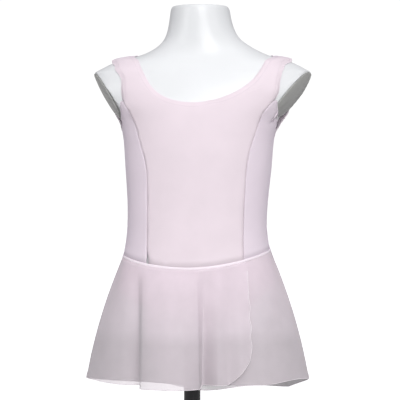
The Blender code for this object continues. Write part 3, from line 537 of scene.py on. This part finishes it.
form_surface = surface_of(form)
for sign in (-1, 1):
    on_side = [vert.co for vert in panels["front_centre"].data.vertices if vert.co.x * sign > 0]
    top = max(on_side, key=lambda place: place.z)
    SLIDES.append((top.x / MM, top.z / MM, CORNER_REACH, CORNER_REACH, CORNER_SLIDE * sign))


def slide_at(place):
    """How far a point of the leotard slides to +x, in millimetres."""
    return sum(
        by * math.exp(-(((place.x / MM - x) / wide) ** 2 + ((place.z / MM - z) / tall) ** 2) / 2)
        for x, z, wide, tall, by in SLIDES)


for node in ("front_centre", "front_side_left", "front_side_right", "back"):
    most = 0.0
    for vert in panels[node].data.vertices:
        slide = slide_at(vert.co)
        if abs(slide) < LEAST_SLIDE or (node == "back" and vert.co.z < STRAPS_FROM):
            continue
        gap = form_surface.find_nearest(vert.co)[3]
        goal = vert.co + Vector((slide * MM, 0, 0))
        place, normal, _, _ = form_surface.find_nearest(goal)
        away = goal - place
        out = away.normalized() if away.dot(normal) > ON_FORM else normal
        vert.co = place + out * gap
        most = max(most, abs(slide))
    print(f"{node}: slid by up to {most:.1f} mm")

# %% [markdown]
# The elastic in the turned edges draws neck, straps and arms close to the form, while
# the middle of a panel keeps a little room. So points near a free edge move to a
# small set distance from the form's surface.

# %% Let the edges hug the form
HUG_WIDTH = 9 * MM
HUG_GAP = 1.75 * MM  # from the form to the outer face of the cloth
LOOSE = 4.5 * MM  # cloth that stands further off than this keeps its place

drawn = surfaces_of_panels()
for node in ("front_centre", "back", "front_side_left", "front_side_right", "briefs_front", "briefs_back"):
    shape = shape_of(panels[node])
    on_seam = sewn_to([drawn[other] for other in panels if other != node])
    rim = tree_of([vert.co for vert in shape.verts if vert.is_boundary and not on_seam(vert.co)])
    for vert in shape.verts:
        share = 1 - min(1.0, rim.find(vert.co)[2] / HUG_WIDTH)
        place, _, _, gap = form_surface.find_nearest(vert.co)
        if HUG_GAP < gap < LOOSE:
            vert.co += (place - vert.co).normalized() * (gap - HUG_GAP) * share * share * (3 - 2 * share)
    keep_shape(panels[node], shape)
print("edges drawn in to", HUG_GAP * 1000, "mm")

# %% [markdown]
# ## Drape
#
# Chiffon never hangs as evenly as a drawn surface. Short puckers stand under the hip
# seam where the circle is eased into it, soft ripples run down to the hem, and the
# free edge of the wrap waves. A noise field that depends only on the place round the
# body moves all three panels alike, so they stay clear of each other.

# %% Let the skirt ripple
PUCKER = 0.8 * MM
PUCKERS_ROUND = 11.0  # how fine the puckers are, against the size of the body
PUCKER_FADE = 16 * MM
RIPPLE = 0.9 * MM
RIPPLES_ROUND = 4.0
RIPPLE_DRIFT = 3.0  # the ripples change that much on the way down
RIPPLE_GROWS = 80 * MM
SEWN_FLAT = 6 * MM  # the seam holds the cloth flat for that far


def ripple_at(place):
    """How far a point of the skirt moves outwards."""
    turn = math.atan2(place.y - BODY_AXIS.y, place.x - BODY_AXIS.x)
    depth = max(0.0, HIP_SEAM - place.z)
    ring = Vector((math.cos(turn), math.sin(turn), 0.0))
    fine = 0.5 + 0.5 * noise.noise(ring * PUCKERS_ROUND)
    broad = 0.5 + 0.5 * noise.noise(ring * RIPPLES_ROUND + Vector((0, 0, 7.0 + place.z * RIPPLE_DRIFT)))
    pucker = PUCKER * fine * math.exp(-depth / PUCKER_FADE)
    ripple = RIPPLE * broad * min(1.0, depth / RIPPLE_GROWS)
    return min(1.0, depth / SEWN_FLAT) * (pucker + ripple)


for node in SKIRT_PANELS:
    moved = [ripple_at(vert.co) for vert in panels[node].data.vertices]
    for vert, rise in zip(panels[node].data.vertices, moved):
        vert.co += away_from_axis(vert.co) * rise
    print(f"{node}: ripples up to {max(moved) * 1000:.2f} mm")

# %% [markdown]
# The wrap's free edge is cut across the weave and stretches a little, so it never hangs
# quite straight. Two waves of different lengths move it out and sideways, and fade into
# the panel within the width of a finger.

# %% Let the wrap's free edge wave
WAVE_REACH = 14 * MM
WAVE_OUT = 0.8 * MM
WAVE_ALONG = 0.8 * MM
WAVE_LONG = 34 * MM
WAVE_FROM = 0.195  # the free edge runs from above the wrap's round corner
WAVE_TO = HIP_SEAM - 14 * MM

shape = shape_of(panels["skirt_wrap_outer"])
free_rim = [
    vert.co.copy() for vert in shape.verts
    if vert.is_boundary and vert.co.x > 0 and WAVE_FROM < vert.co.z < WAVE_TO]
rim = tree_of(free_rim)
for vert in shape.verts:
    gap = rim.find(vert.co)[2]
    if gap < WAVE_REACH:
        share = (1 - gap / WAVE_REACH) ** 2
        out = away_from_axis(vert.co)
        turn = 2 * math.pi * vert.co.z / WAVE_LONG
        vert.co += out * (WAVE_OUT * (1 + math.sin(turn + 1.0)) * share)
        vert.co += Vector((-out.y, out.x, 0)) * (WAVE_ALONG * math.sin(turn * 1.3) * share)
keep_shape(panels["skirt_wrap_outer"], shape)
print(f"{len(free_rim)} points on the wrap's free edge")

# %% [markdown]
# ## Edges and seams
#
# Everything that is sewn follows an edge of a panel: seams where two panels meet,
# turned edges at the neck and the arms, the rolled hem of the skirt. So the edges
# are read from the fine sheets as chains of points with the cloth's normal.

# %% Read the edges of a sheet
LEAST_POINTS = 4


def edge_chains(piece, wanted):
    """Rows of (place, normal) along the sheet's open edges, where wanted(place) holds."""
    shape = shape_of(piece)
    links = {}
    for edge in shape.edges:
        if edge.is_boundary and all(wanted(vert.co) for vert in edge.verts):
            for vert in edge.verts:
                links.setdefault(vert, []).append(edge.other_vert(vert))
    chains = []
    left = set(links)
    while left:
        ends = sorted((vert for vert in left if len(links[vert]) == 1), key=lambda vert: vert.index)
        vert = ends[0] if ends else min(left, key=lambda vert: vert.index)
        chain = []
        while vert is not None:
            left.discard(vert)
            chain.append((vert.co.copy(), vert.normal.copy()))
            vert = next((other for other in links[vert] if other in left), None)
        if not ends:
            chain.append(chain[0])
        if len(chain) >= LEAST_POINTS:
            chains.append(chain)
    shape.free()
    return chains


# %% [markdown]
# The frame keeps its panels a little apart at the seams, because solids must not touch.
# Sewn cloth has no such gap, so the two edges of a seam meet in the middle. They lie a
# little deeper than the cloth beside them, as thread pulls cloth in.

# %% Close the seams
SEAM_DIP = 0.12 * MM  # sewing pulls the cloth in by that much
SEWN = (
    ("front_centre", "front_side_left"), ("front_centre", "front_side_right"),
    ("back", "front_side_left"), ("back", "front_side_right"), ("back", "front_centre"),
    ("briefs_front", "briefs_back"), ("briefs_front", "briefs_gusset"), ("briefs_back", "briefs_gusset"),
    ("skirt_back", "skirt_wrap_inner"), ("skirt_back", "skirt_wrap_outer"),
)
drawn = surfaces_of_panels()
for pair in SEWN:
    for node, other in (pair, pair[::-1]):
        shape = shape_of(panels[node])
        for vert in shape.verts:
            place = drawn[other].find_nearest(vert.co, SEAM_REACH)[0]
            if vert.is_boundary and place is not None:
                vert.co = (vert.co + place) / 2 - vert.normal * SEAM_DIP
        keep_shape(panels[node], shape)
print(len(SEWN), "pairs of panels sewn together")

# %% [markdown]
# A turned edge runs smooth, without the small steps of the sheet it was read from. Each
# round draws every point between its two neighbours and then swells the edge back by a
# little more, so that it grows even and doesn't shrink.

# %% Even out the free edges of the leotard
EVEN_TURNS = 24
EVEN_PULL = 0.5
EVEN_SWELL = -0.52
EVEN_REACH = 14 * MM  # the cloth follows its edge that far in

drawn = surfaces_of_panels()
for node in JERSEY_PANELS:
    shape = shape_of(panels[node])
    rim = [vert for vert in shape.verts if vert.is_boundary]
    beside = {vert: [edge.other_vert(vert) for edge in vert.link_edges if edge.is_boundary] for vert in rim}
    on_seam = sewn_to([drawn[other] for other in panels if other != node])
    free = [vert for vert in rim if len(beside[vert]) == 2 and not on_seam(vert.co)]
    before = [vert.co.copy() for vert in rim]
    start = tree_of(before)
    for pull in (EVEN_PULL, EVEN_SWELL) * EVEN_TURNS:
        steps = [(sum((side.co for side in beside[vert]), Vector()) / 2 - vert.co) * pull for vert in free]
        for vert, step in zip(free, steps):
            vert.co += step
    for vert in shape.verts:
        if not vert.is_boundary:
            _, index, gap = start.find(vert.co)
            vert.co += (rim[index].co - before[index]) * max(0.0, 1 - gap / EVEN_REACH)
    keep_shape(panels[node], shape)
    print(f"{node}: {len(free)} edge points evened")

# %% [markdown]
# Leotard and skirt both end in the rolled seam at the hips. Their edges are moved just
# under the roll's surface, so that neither a gap nor a raw edge shows.

# %% Tuck the edges into the hip seam's roll
ROLL_REACH = 4.0 * MM
TUCK = 0.5 * MM

roll_shape = merged_copy("hip_seam_roll")
roll_surface = BVHTree.FromBMesh(roll_shape)
roll_shape.free()
for node, piece in panels.items():
    shape = shape_of(piece)
    for vert in shape.verts:
        place, normal, _, _ = roll_surface.find_nearest(vert.co, ROLL_REACH)
        if vert.is_boundary and place is not None:
            vert.co = place - normal * TUCK
    keep_shape(piece, shape)
surfaces = surfaces_of_panels()
print("edges tucked", TUCK * 1000, "mm into the hip seam's roll")

# %% Find the seams and the free edges
def seam(node, other):
    """The edge of one panel where another is sewn to it."""
    return edge_chains(panels[node], sewn_to([surfaces[other]]))


def free_edges(node, others):
    """The edges of one panel that no other of those panels is sewn to."""
    on_seam = sewn_to([surfaces[other] for other in others])
    return edge_chains(panels[node], lambda place: not on_seam(place))


princess = {side: seam(f"front_side_{side}", "front_centre") for side in ("left", "right")}
side_seams = {side: seam(f"front_side_{side}", "back") for side in ("left", "right")}
for name, seams in (("princess seam", princess), ("side seam", side_seams)):
    for side, chains in seams.items():
        print(f"{side} {name}: {sum(length_of(chain) for chain in chains):.3f} m")

# %% [markdown]
# ## Sewing with Geometry Nodes
#
# A row of stitches and a rolled edge both follow a path, so two small trees make them
# all. One lays a thread loop every so many millimetres along the path, turned to lie
# on the cloth. The other sweeps a round profile along the path.

# %% Start a tree
def new_tree(name, inputs):
    """A Geometry Nodes tree with named inputs, given as (name, socket kind, value)."""
    tree = bpy.data.node_groups.new(name, "GeometryNodeTree")
    tree.interface.new_socket("Path", in_out="INPUT", socket_type="NodeSocketGeometry")
    for label, kind, value in inputs:
        socket = tree.interface.new_socket(label, in_out="INPUT", socket_type="NodeSocket" + kind)
        if value is not None:
            socket.default_value = value
    tree.interface.new_socket("Sewing", in_out="OUTPUT", socket_type="NodeSocketGeometry")
    return tree, tree.nodes.new("NodeGroupInput"), tree.nodes.new("NodeGroupOutput")


def resampled_path(tree, given, step):
    """The path as a curve with a point every so far."""
    curve = tree.nodes.new("GeometryNodeMeshToCurve")
    resample = tree.nodes.new("GeometryNodeResampleCurve")
    resample.mode = "LENGTH"
    tree.links.new(given.outputs["Path"], curve.inputs["Mesh"])
    tree.links.new(curve.outputs["Curve"], resample.inputs["Curve"])
    tree.links.new(given.outputs[step], resample.inputs["Length"])
    return resample.outputs["Curve"]


def finish_tree(tree, given, result, geometry):
    """Realizes the instances, shades them smooth and sets the finish."""
    realize = tree.nodes.new("GeometryNodeRealizeInstances")
    smooth = tree.nodes.new("GeometryNodeSetShadeSmooth")
    finish = tree.nodes.new("GeometryNodeSetMaterial")
    tree.links.new(geometry, realize.inputs["Geometry"])
    tree.links.new(realize.outputs["Geometry"], smooth.inputs["Geometry"])
    tree.links.new(smooth.outputs["Geometry"], finish.inputs["Geometry"])
    tree.links.new(given.outputs["Finish"], finish.inputs["Material"])
    tree.links.new(finish.outputs["Geometry"], result.inputs["Sewing"])


# %% The stitch tree
def stitch_tree():
    """Thread loops along a path: round beads, stretched to a stitch's length and thickness."""
    tree, given, result = new_tree("stitches", [
        ("Pitch", "Float", 2.6 * MM), ("Length", "Float", 2.1 * MM), ("Thickness", "Float", 0.45 * MM),
        ("Finish", "Material", None),
    ])
    path = resampled_path(tree, given, "Pitch")
    loop = tree.nodes.new("GeometryNodeMeshUVSphere")
    loop.inputs["Segments"].default_value = 6
    loop.inputs["Rings"].default_value = 4
    loop.inputs["Radius"].default_value = 0.5
    size = tree.nodes.new("ShaderNodeCombineXYZ")
    shaped = tree.nodes.new("GeometryNodeTransform")
    for socket, axis in (("Length", "X"), ("Thickness", "Y"), ("Thickness", "Z")):
        tree.links.new(given.outputs[socket], size.inputs[axis])
    tree.links.new(loop.outputs["Mesh"], shaped.inputs["Geometry"])
    tree.links.new(size.outputs["Vector"], shaped.inputs["Scale"])
    along = tree.nodes.new("FunctionNodeAlignRotationToVector")
    along.axis = "X"
    flat = tree.nodes.new("FunctionNodeAlignRotationToVector")
    flat.axis = "Z"
    flat.pivot_axis = "X"
    out = tree.nodes.new("GeometryNodeInputNamedAttribute")
    out.data_type = "FLOAT_VECTOR"
    out.inputs["Name"].default_value = "out"
    tree.links.new(tree.nodes.new("GeometryNodeInputTangent").outputs["Tangent"], along.inputs["Vector"])
    tree.links.new(along.outputs["Rotation"], flat.inputs["Rotation"])
    tree.links.new(out.outputs["Attribute"], flat.inputs["Vector"])
    rows = tree.nodes.new("GeometryNodeInstanceOnPoints")
    tree.links.new(path, rows.inputs["Points"])
    tree.links.new(shaped.outputs["Geometry"], rows.inputs["Instance"])
    tree.links.new(flat.outputs["Rotation"], rows.inputs["Rotation"])
    finish_tree(tree, given, result, rows.outputs["Instances"])
    return tree


# %% The roll tree
def roll_tree():
    """A round profile swept along a path."""
    tree, given, result = new_tree("rolled_edge", [
        ("Step", "Float", 2.0 * MM), ("Radius", "Float", 0.8 * MM), ("Sides", "Int", 8),
        ("Finish", "Material", None),
    ])
    path = resampled_path(tree, given, "Step")
    profile = tree.nodes.new("GeometryNodeCurvePrimitiveCircle")
    sweep = tree.nodes.new("GeometryNodeCurveToMesh")
    sweep.inputs["Fill Caps"].default_value = True
    tree.links.new(given.outputs["Radius"], profile.inputs["Radius"])
    tree.links.new(given.outputs["Sides"], profile.inputs["Resolution"])
    tree.links.new(path, sweep.inputs["Curve"])
    tree.links.new(profile.outputs["Curve"], sweep.inputs["Profile Curve"])
    finish_tree(tree, given, result, sweep.outputs["Mesh"])
    return tree


stitches = stitch_tree()
rolled_edge = roll_tree()
print("trees:", stitches.name, "and", rolled_edge.name)

# %% [markdown]
# A path goes into a tree as a chain of edges, and each of its points carries the cloth's
# normal in an attribute named out, so that a stitch can lie flat. The result is kept as
# a plain mesh, because instances and live modifiers don't survive an export.

# %% Grow a tree on some paths
sewing = []  # every piece of sewing, with its slot


def sewn_piece(name, tree, chains, slot, **inputs):
    """Adds a piece of sewing along chains of (place, normal), as a plain mesh."""
    places = [place for chain in chains for place, _ in chain]
    edges, base = [], 0
    for chain in chains:
        edges += [(base + i, base + i + 1) for i in range(len(chain) - 1)]
        base += len(chain)
    mesh = bpy.data.meshes.new(name)
    mesh.from_pydata(places, edges, [])
    out = mesh.attributes.new("out", "FLOAT_VECTOR", "POINT")
    out.data.foreach_set("vector", [axis for chain in chains for _, normal in chain for axis in normal])
    piece = bpy.data.objects.new(name, mesh)
    bpy.context.scene.collection.objects.link(piece)
    grow = piece.modifiers.new("Sewing", "NODES")
    grow.node_group = tree
    for socket in tree.interface.items_tree:
        if socket.name in inputs:
            grow[socket.identifier] = inputs[socket.name]
    bake_modifiers(piece)
    sewing.append((piece, slot))
    print(f"{name}: {sum(length_of(chain) for chain in chains):.2f} m, {len(piece.data.polygons)} faces")


# %% [markdown]
# Stitches run beside an edge, not on it. So each point of the edge is moved sideways and
# put back on the cloth's surface, on whichever side the cloth really lies.

# %% Move a path over the cloth
def shifted(chain, surface, inset, lift):
    """The chain moved inset metres into the sheet, along its surface, and lifted off it."""
    moved = []
    for i, (place, normal) in enumerate(chain):
        before, after = chain[max(i - 1, 0)][0], chain[min(i + 1, len(chain) - 1)][0]
        across = normal.cross((after - before).normalized()) * inset
        ways = [surface.find_nearest(place + way) for way in (across, -across)]
        best = min((0, 1), key=lambda k: (ways[k][0] - (place + (across, -across)[k])).length)
        found, out = ways[best][0], ways[best][1]
        out = out if out.dot(normal) > 0 else -out
        moved.append((found + out * lift, out))
    return moved


def eased(chain, turns=3):
    """The chain with its small corners smoothed out."""
    for _ in range(turns):
        inner = [((a[0] + b[0] * 2 + c[0]) / 4, b[1]) for a, b, c in zip(chain, chain[1:], chain[2:])]
        chain = [chain[0], *inner, chain[-1]]
    return chain


# %% [markdown]
# ## The leotard's sewing
#
# The princess seams are flat seams: a fine dark line of thread and painted shade where
# the panels meet, and one row of topstitching beside it, on the centre front. Neck, arms
# and legs have a narrow elastic turned to the inside, held by one row of stitches.

# %% Princess and side seams
SEAM_LINE = {"Radius": 0.22 * MM, "Step": 1.5 * MM, "Sides": 6, "Finish": seam_shade}
SEAM_LIFT = 0.05 * MM
TOPSTITCH_INSET = 3.4 * MM
STITCH_LIFT = 0.08 * MM


def seam_line(name, chains, node):
    """A fine dark line of thread and painted shade where a panel's edge meets its neighbour."""
    line = [eased(shifted(chain, surfaces[node], 0.0, SEAM_LIFT)) for chain in chains]
    sewn_piece(name, rolled_edge, line, "jersey", **SEAM_LINE)


def stitch_row(name, chains, node, inset):
    """A row of stitches on a panel, inside its edge."""
    row = [eased(shifted(chain, surfaces[node], inset, STITCH_LIFT)) for chain in chains]
    sewn_piece(name, stitches, row, "jersey", Finish=thread)


for side in ("left", "right"):
    front_seam = seam("front_centre", f"front_side_{side}")
    seam_line(f"princess_seam_{side}", princess[side], f"front_side_{side}")
    stitch_row(f"princess_topstitch_{side}", front_seam, "front_centre", TOPSTITCH_INSET)
    seam_line(f"side_seam_{side}", side_seams[side], "back")

# %% Turned edges of neck, arms and legs
EDGE_LEAST = 8 * MM  # shorter bits of edge are corners, which the neighbours' rolls cover
EDGE_LINE = 6.5 * MM  # the row of stitches runs that far inside the edge
EDGE_ROLL = {"Radius": 0.78 * MM, "Step": 1.6 * MM, "Finish": turned_edge}

for node in JERSEY_PANELS:
    edges = free_edges(node, [other for other in JERSEY_PANELS if other != node])
    chains = [eased(chain, 2) for chain in edges if length_of(chain) > EDGE_LEAST]
    middle = [[(place - normal * WALL / 2, normal) for place, normal in chain] for chain in chains]
    sewn_piece(f"{node}_turned_edge", rolled_edge, middle, "jersey", **EDGE_ROLL)
    stitch_row(f"{node}_edge_stitches", chains, node, EDGE_LINE)

# %% [markdown]
# ## The skirt's rolled hem
#
# Chiffon frays, so its free edges are rolled tight and bound with a close overlock
# thread. From a step away that is a thin light cord along the edge; near by, it is a
# row of slanting loops side by side.

# %% Hem and free edges of the wraps
SKIRT_NEIGHBOURS = {
    "skirt_wrap_outer": ("skirt_back",),
    "skirt_wrap_inner": ("skirt_back",),
    "skirt_back": ("skirt_wrap_inner", "skirt_wrap_outer"),
}
HEM_BELOW = HIP_SEAM - 12 * MM  # the hip seam's own edge lies above
HEM_ROLL = {"Radius": 0.42 * MM, "Step": 1.6 * MM, "Sides": 6, "Finish": hem_thread}
HEM_OVERLOCK = {"Pitch": 1.3 * MM, "Length": 1.15 * MM, "Thickness": 1.15 * MM, "Finish": hem_thread}

for node, others in SKIRT_NEIGHBOURS.items():
    chains = []
    for chain in free_edges(node, others):
        below = [point for point in chain if point[0].z < HEM_BELOW]
        if length_of(below) > EDGE_LEAST:
            chains.append(eased(below, 2))
    sewn_piece(f"{node}_hem_roll", rolled_edge, chains, "chiffon", **HEM_ROLL)
    sewn_piece(f"{node}_hem_overlock", stitches, chains, "chiffon", **HEM_OVERLOCK)

# %% [markdown]
# ## Floor, light and camera
#
# The garment was photographed front on against pure white, with a broad soft
# light from the front. The form's sides fall into a gentle shade.

# %% The stage
FLOOR_SIZE = 60.0
floor_mesh = bpy.data.meshes.new("studio_floor")
half = FLOOR_SIZE / 2
corners = [(-half, -half, 0), (half, -half, 0), (half, half, 0), (-half, half, 0)]
floor_mesh.from_pydata(corners, [], [(0, 1, 2, 3)])
floor = bpy.data.objects.new("studio_floor", floor_mesh)
bpy.context.scene.collection.objects.link(floor)
floor_white = new_finish(
    "floor_white", (0.80, 0.80, 0.80), 0.9, Emission_Color=(1, 1, 1, 1), Emission_Strength=0.74)
floor_mesh.materials.append(floor_white)
floor.visible_diffuse = False  # the white ground is only a backdrop and sends no light up under the skirt
print("floor:", FLOOR_SIZE, "m wide")

# %% [markdown]
# An even white surround would light the skirt from below as strongly as from above and
# wash out its shade. So the surround's strength changes with height, while the camera
# sees the same white everywhere.

# %% The white surround
GLOW_ABOVE = 0.48  # strength of the surround's light from the sky side
GLOW_BELOW = 0.16  # and from under the garment, where the skirt's inside stays in shade
GLOW_TURNS = 0.4  # the light goes from one to the other between this far under and over the horizon
SEEN_WHITE = 1.05  # strength of the ground that the camera sees

world = bpy.data.worlds.new("white_surround")
bpy.context.scene.world = world
world.use_nodes = True
world_nodes, world_links = world.node_tree.nodes, world.node_tree.links
surround = world_nodes["Background"]
surround.inputs["Color"].default_value = (0.97, 0.96, 1.0, 1.0)
way = world_nodes.new("ShaderNodeTexCoord")
rise = world_nodes.new("ShaderNodeSeparateXYZ")
glow = world_nodes.new("ShaderNodeMapRange")
for socket, value in (
    ("From Min", -GLOW_TURNS), ("From Max", GLOW_TURNS), ("To Min", GLOW_BELOW), ("To Max", GLOW_ABOVE),
):
    glow.inputs[socket].default_value = value
world_links.new(way.outputs["Generated"], rise.inputs["Vector"])
world_links.new(rise.outputs["Z"], glow.inputs["Value"])
world_links.new(glow.outputs["Result"], surround.inputs["Strength"])
seen = world_nodes.new("ShaderNodeBackground")
seen.inputs["Color"].default_value = (1, 1, 1, 1)
seen.inputs["Strength"].default_value = SEEN_WHITE
mix = world_nodes.new("ShaderNodeMixShader")
path = world_nodes.new("ShaderNodeLightPath")
world_links.new(path.outputs["Is Camera Ray"], mix.inputs["Fac"])
world_links.new(surround.outputs["Background"], mix.inputs[1])
world_links.new(seen.outputs["Background"], mix.inputs[2])
world_links.new(mix.outputs["Shader"], world_nodes["World Output"].inputs["Surface"])

# %% [markdown]
# One large softbox in front gives the even light. Two weaker ones round off the sides,
# and faint light from behind and above keeps the back from going black. Large lights
# cast soft shadows, so seams and folds show by shade alone.

# %% The lights
TORSO_MIDDLE = Vector((0.0, 0.0, 0.45))


def add_softbox(name, place, size, watts):
    """A rectangle of light that faces the torso."""
    lamp = bpy.data.lights.new(name, "AREA")
    lamp.shape = "RECTANGLE"
    lamp.size, lamp.size_y = size
    lamp.energy = watts
    softbox = bpy.data.objects.new(name, lamp)
    softbox.location = place
    softbox.rotation_euler = (TORSO_MIDDLE - Vector(place)).to_track_quat("-Z", "Y").to_euler()
    bpy.context.scene.collection.objects.link(softbox)
    print(f"{name}: {watts} W")


add_softbox("front_softbox", (0.60, -2.7, 1.2), (1.6, 1.6), 41)
add_softbox("left_softbox", (-2.3, -1.7, 0.9), (1.2, 1.6), 13)
add_softbox("right_softbox", (2.3, -1.6, 0.9), (1.2, 1.6), 7)
add_softbox("back_softbox", (0.6, 2.4, 2.2), (2.0, 1.4), 1.5)
sky = bpy.data.lights.new("high_sun", "SUN")
sky.energy = 0.4
sky.angle = math.radians(50)
sky_obj = bpy.data.objects.new("high_sun", sky)
sky_obj.rotation_euler = (math.radians(32), math.radians(8), 0)
bpy.context.scene.collection.objects.link(sky_obj)
bpy.context.scene.view_settings.view_transform = "Standard"

# %% [markdown]
# A long lens from 3 m away keeps the garment nearly free of perspective, as in a
# catalogue picture. The camera stands at about the height of the waist and a little to
# one side of the middle.

# %% The camera
AIM = Vector((0.0120, -0.0060, 0.4265))
DISTANCE = 3.0
AZIMUTH = math.radians(2.5)
camera_data = bpy.data.cameras.new("camera")
camera_data.lens = 180.0
camera_data.sensor_width = 36.0
camera = bpy.data.objects.new("camera", camera_data)
camera.location = AIM + DISTANCE * Vector((math.sin(AZIMUTH), -math.cos(AZIMUTH), 0.0))
camera.rotation_euler = (AIM - camera.location).to_track_quat("-Z", "Y").to_euler()
bpy.context.scene.collection.objects.link(camera)
bpy.context.scene.camera = camera
print(f"camera: {camera_data.lens:.0f} mm lens, {DISTANCE} m away")

# %% [markdown]
# ## Every piece rides and replaces its node
#
# Nothing moves on this object, so all pieces ride the one body. Each piece of sewing
# keeps a slot that names what it is made of.

# %% Hard pieces
def declare(piece, node):
    """Rides a piece on the one body and hides the node it replaces."""
    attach(piece, "root")
    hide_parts(node)


plates = {
    node: rounded_node(f"{node}_face", node, plate_grey, 1) for node in ("arm_plate_left", "arm_plate_right")}
declare(form, "dress_form")
for node, plate in plates.items():
    declare(plate, node)
for node in ("stand_base", "stand_hub", "stand_pole"):
    declare(rounded_node(node + "_steel", node, stand_black, 1), node)
print("hard pieces: the form, its two arm plates and the three parts of the stand")

# %% Cloth pieces
HIP_RADIUS = 110 * MM
seam_roll = rounded_node("hip_seam_roll_cloth", "hip_seam_roll", jersey_roll_painted_highlight, 1)
unroll(seam_roll, HIP_RADIUS)
declare(seam_roll, "hip_seam_roll")
cut_sheets = {node: piece.data.copy() for node, piece in panels.items()}
for node, piece in panels.items():
    if node in JERSEY_PANELS:
        wall = piece.modifiers.new("Wall", "SOLIDIFY")
        wall.thickness = WALL
        wall.offset = -1.0
        bake_modifiers(piece)
    declare(piece, node)
for piece, slot in sewing:
    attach(piece, "root")
print(len(panels) + 1, "pieces of cloth and", len(sewing), "of sewing")

# %% [markdown]
# ## The cut
#
# Every panel's cut sheet is printed. Its flat size is measured on
# the finished panel: the longest section across it and the longest section up it. A
# leotard is cut smaller than the body, so jersey is divided by its stretch.

# %% Measure sections of a panel
STRETCH_ROUND = 1.06
STRETCH_UP = 1.03
LEVELS = 16  # sections across lie that many to a panel's height
TURNS = 48  # and sections up that many to a turn
TURN_START = 1  # in degrees, so that no section runs along an edge


def section_length(mesh, place, normal, side=None):
    """The length of the line in which a plane cuts a sheet, on one side of the body if asked."""
    shape = bmesh.new()
    shape.from_mesh(mesh)
    whole = shape.verts[:] + shape.edges[:] + shape.faces[:]
    cut = bmesh.ops.bisect_plane(shape, geom=whole, plane_co=place, plane_no=normal)
    edges = [item for item in cut["geom_cut"] if isinstance(item, bmesh.types.BMEdge)]
    if side is not None:
        edges = [edge for edge in edges if ((edge.verts[0].co + edge.verts[1].co) / 2 - place).dot(side) > 0]
    length = sum(edge.calc_length() for edge in edges)
    shape.free()
    return length


def flat_size(mesh):
    """The longest section across the sheet and the longest up it."""
    heights = [vert.co.z for vert in mesh.vertices]
    low, high = min(heights), max(heights)
    across = 0.0
    for k in range(1, LEVELS):
        level = Vector((0, 0, low + (high - low) * k / LEVELS))
        across = max(across, section_length(mesh, level, Vector((0, 0, 1))))
    up = 0.0
    axis = BODY_AXIS.to_3d()
    for k in range(TURNS):
        turn = math.radians(360 / TURNS * k + TURN_START)
        side = Vector((math.cos(turn), math.sin(turn), 0))
        normal = Vector((-math.sin(turn), math.cos(turn), 0))
        up = max(up, section_length(mesh, axis, normal, side))
    return across, up


for node, sheet in cut_sheets.items():
    wide, long = flat_size(sheet)
    area = area_of(sheet)
    worn = node in JERSEY_PANELS
    if worn:
        wide, long, area = wide / STRETCH_ROUND, long / STRETCH_UP, area / (STRETCH_ROUND * STRETCH_UP)
    area = min(area, wide * long)
    print(f"{node}: cut {wide * 1000:.0f} x {long * 1000:.0f} mm, {area * 1e4:.0f} cm2")
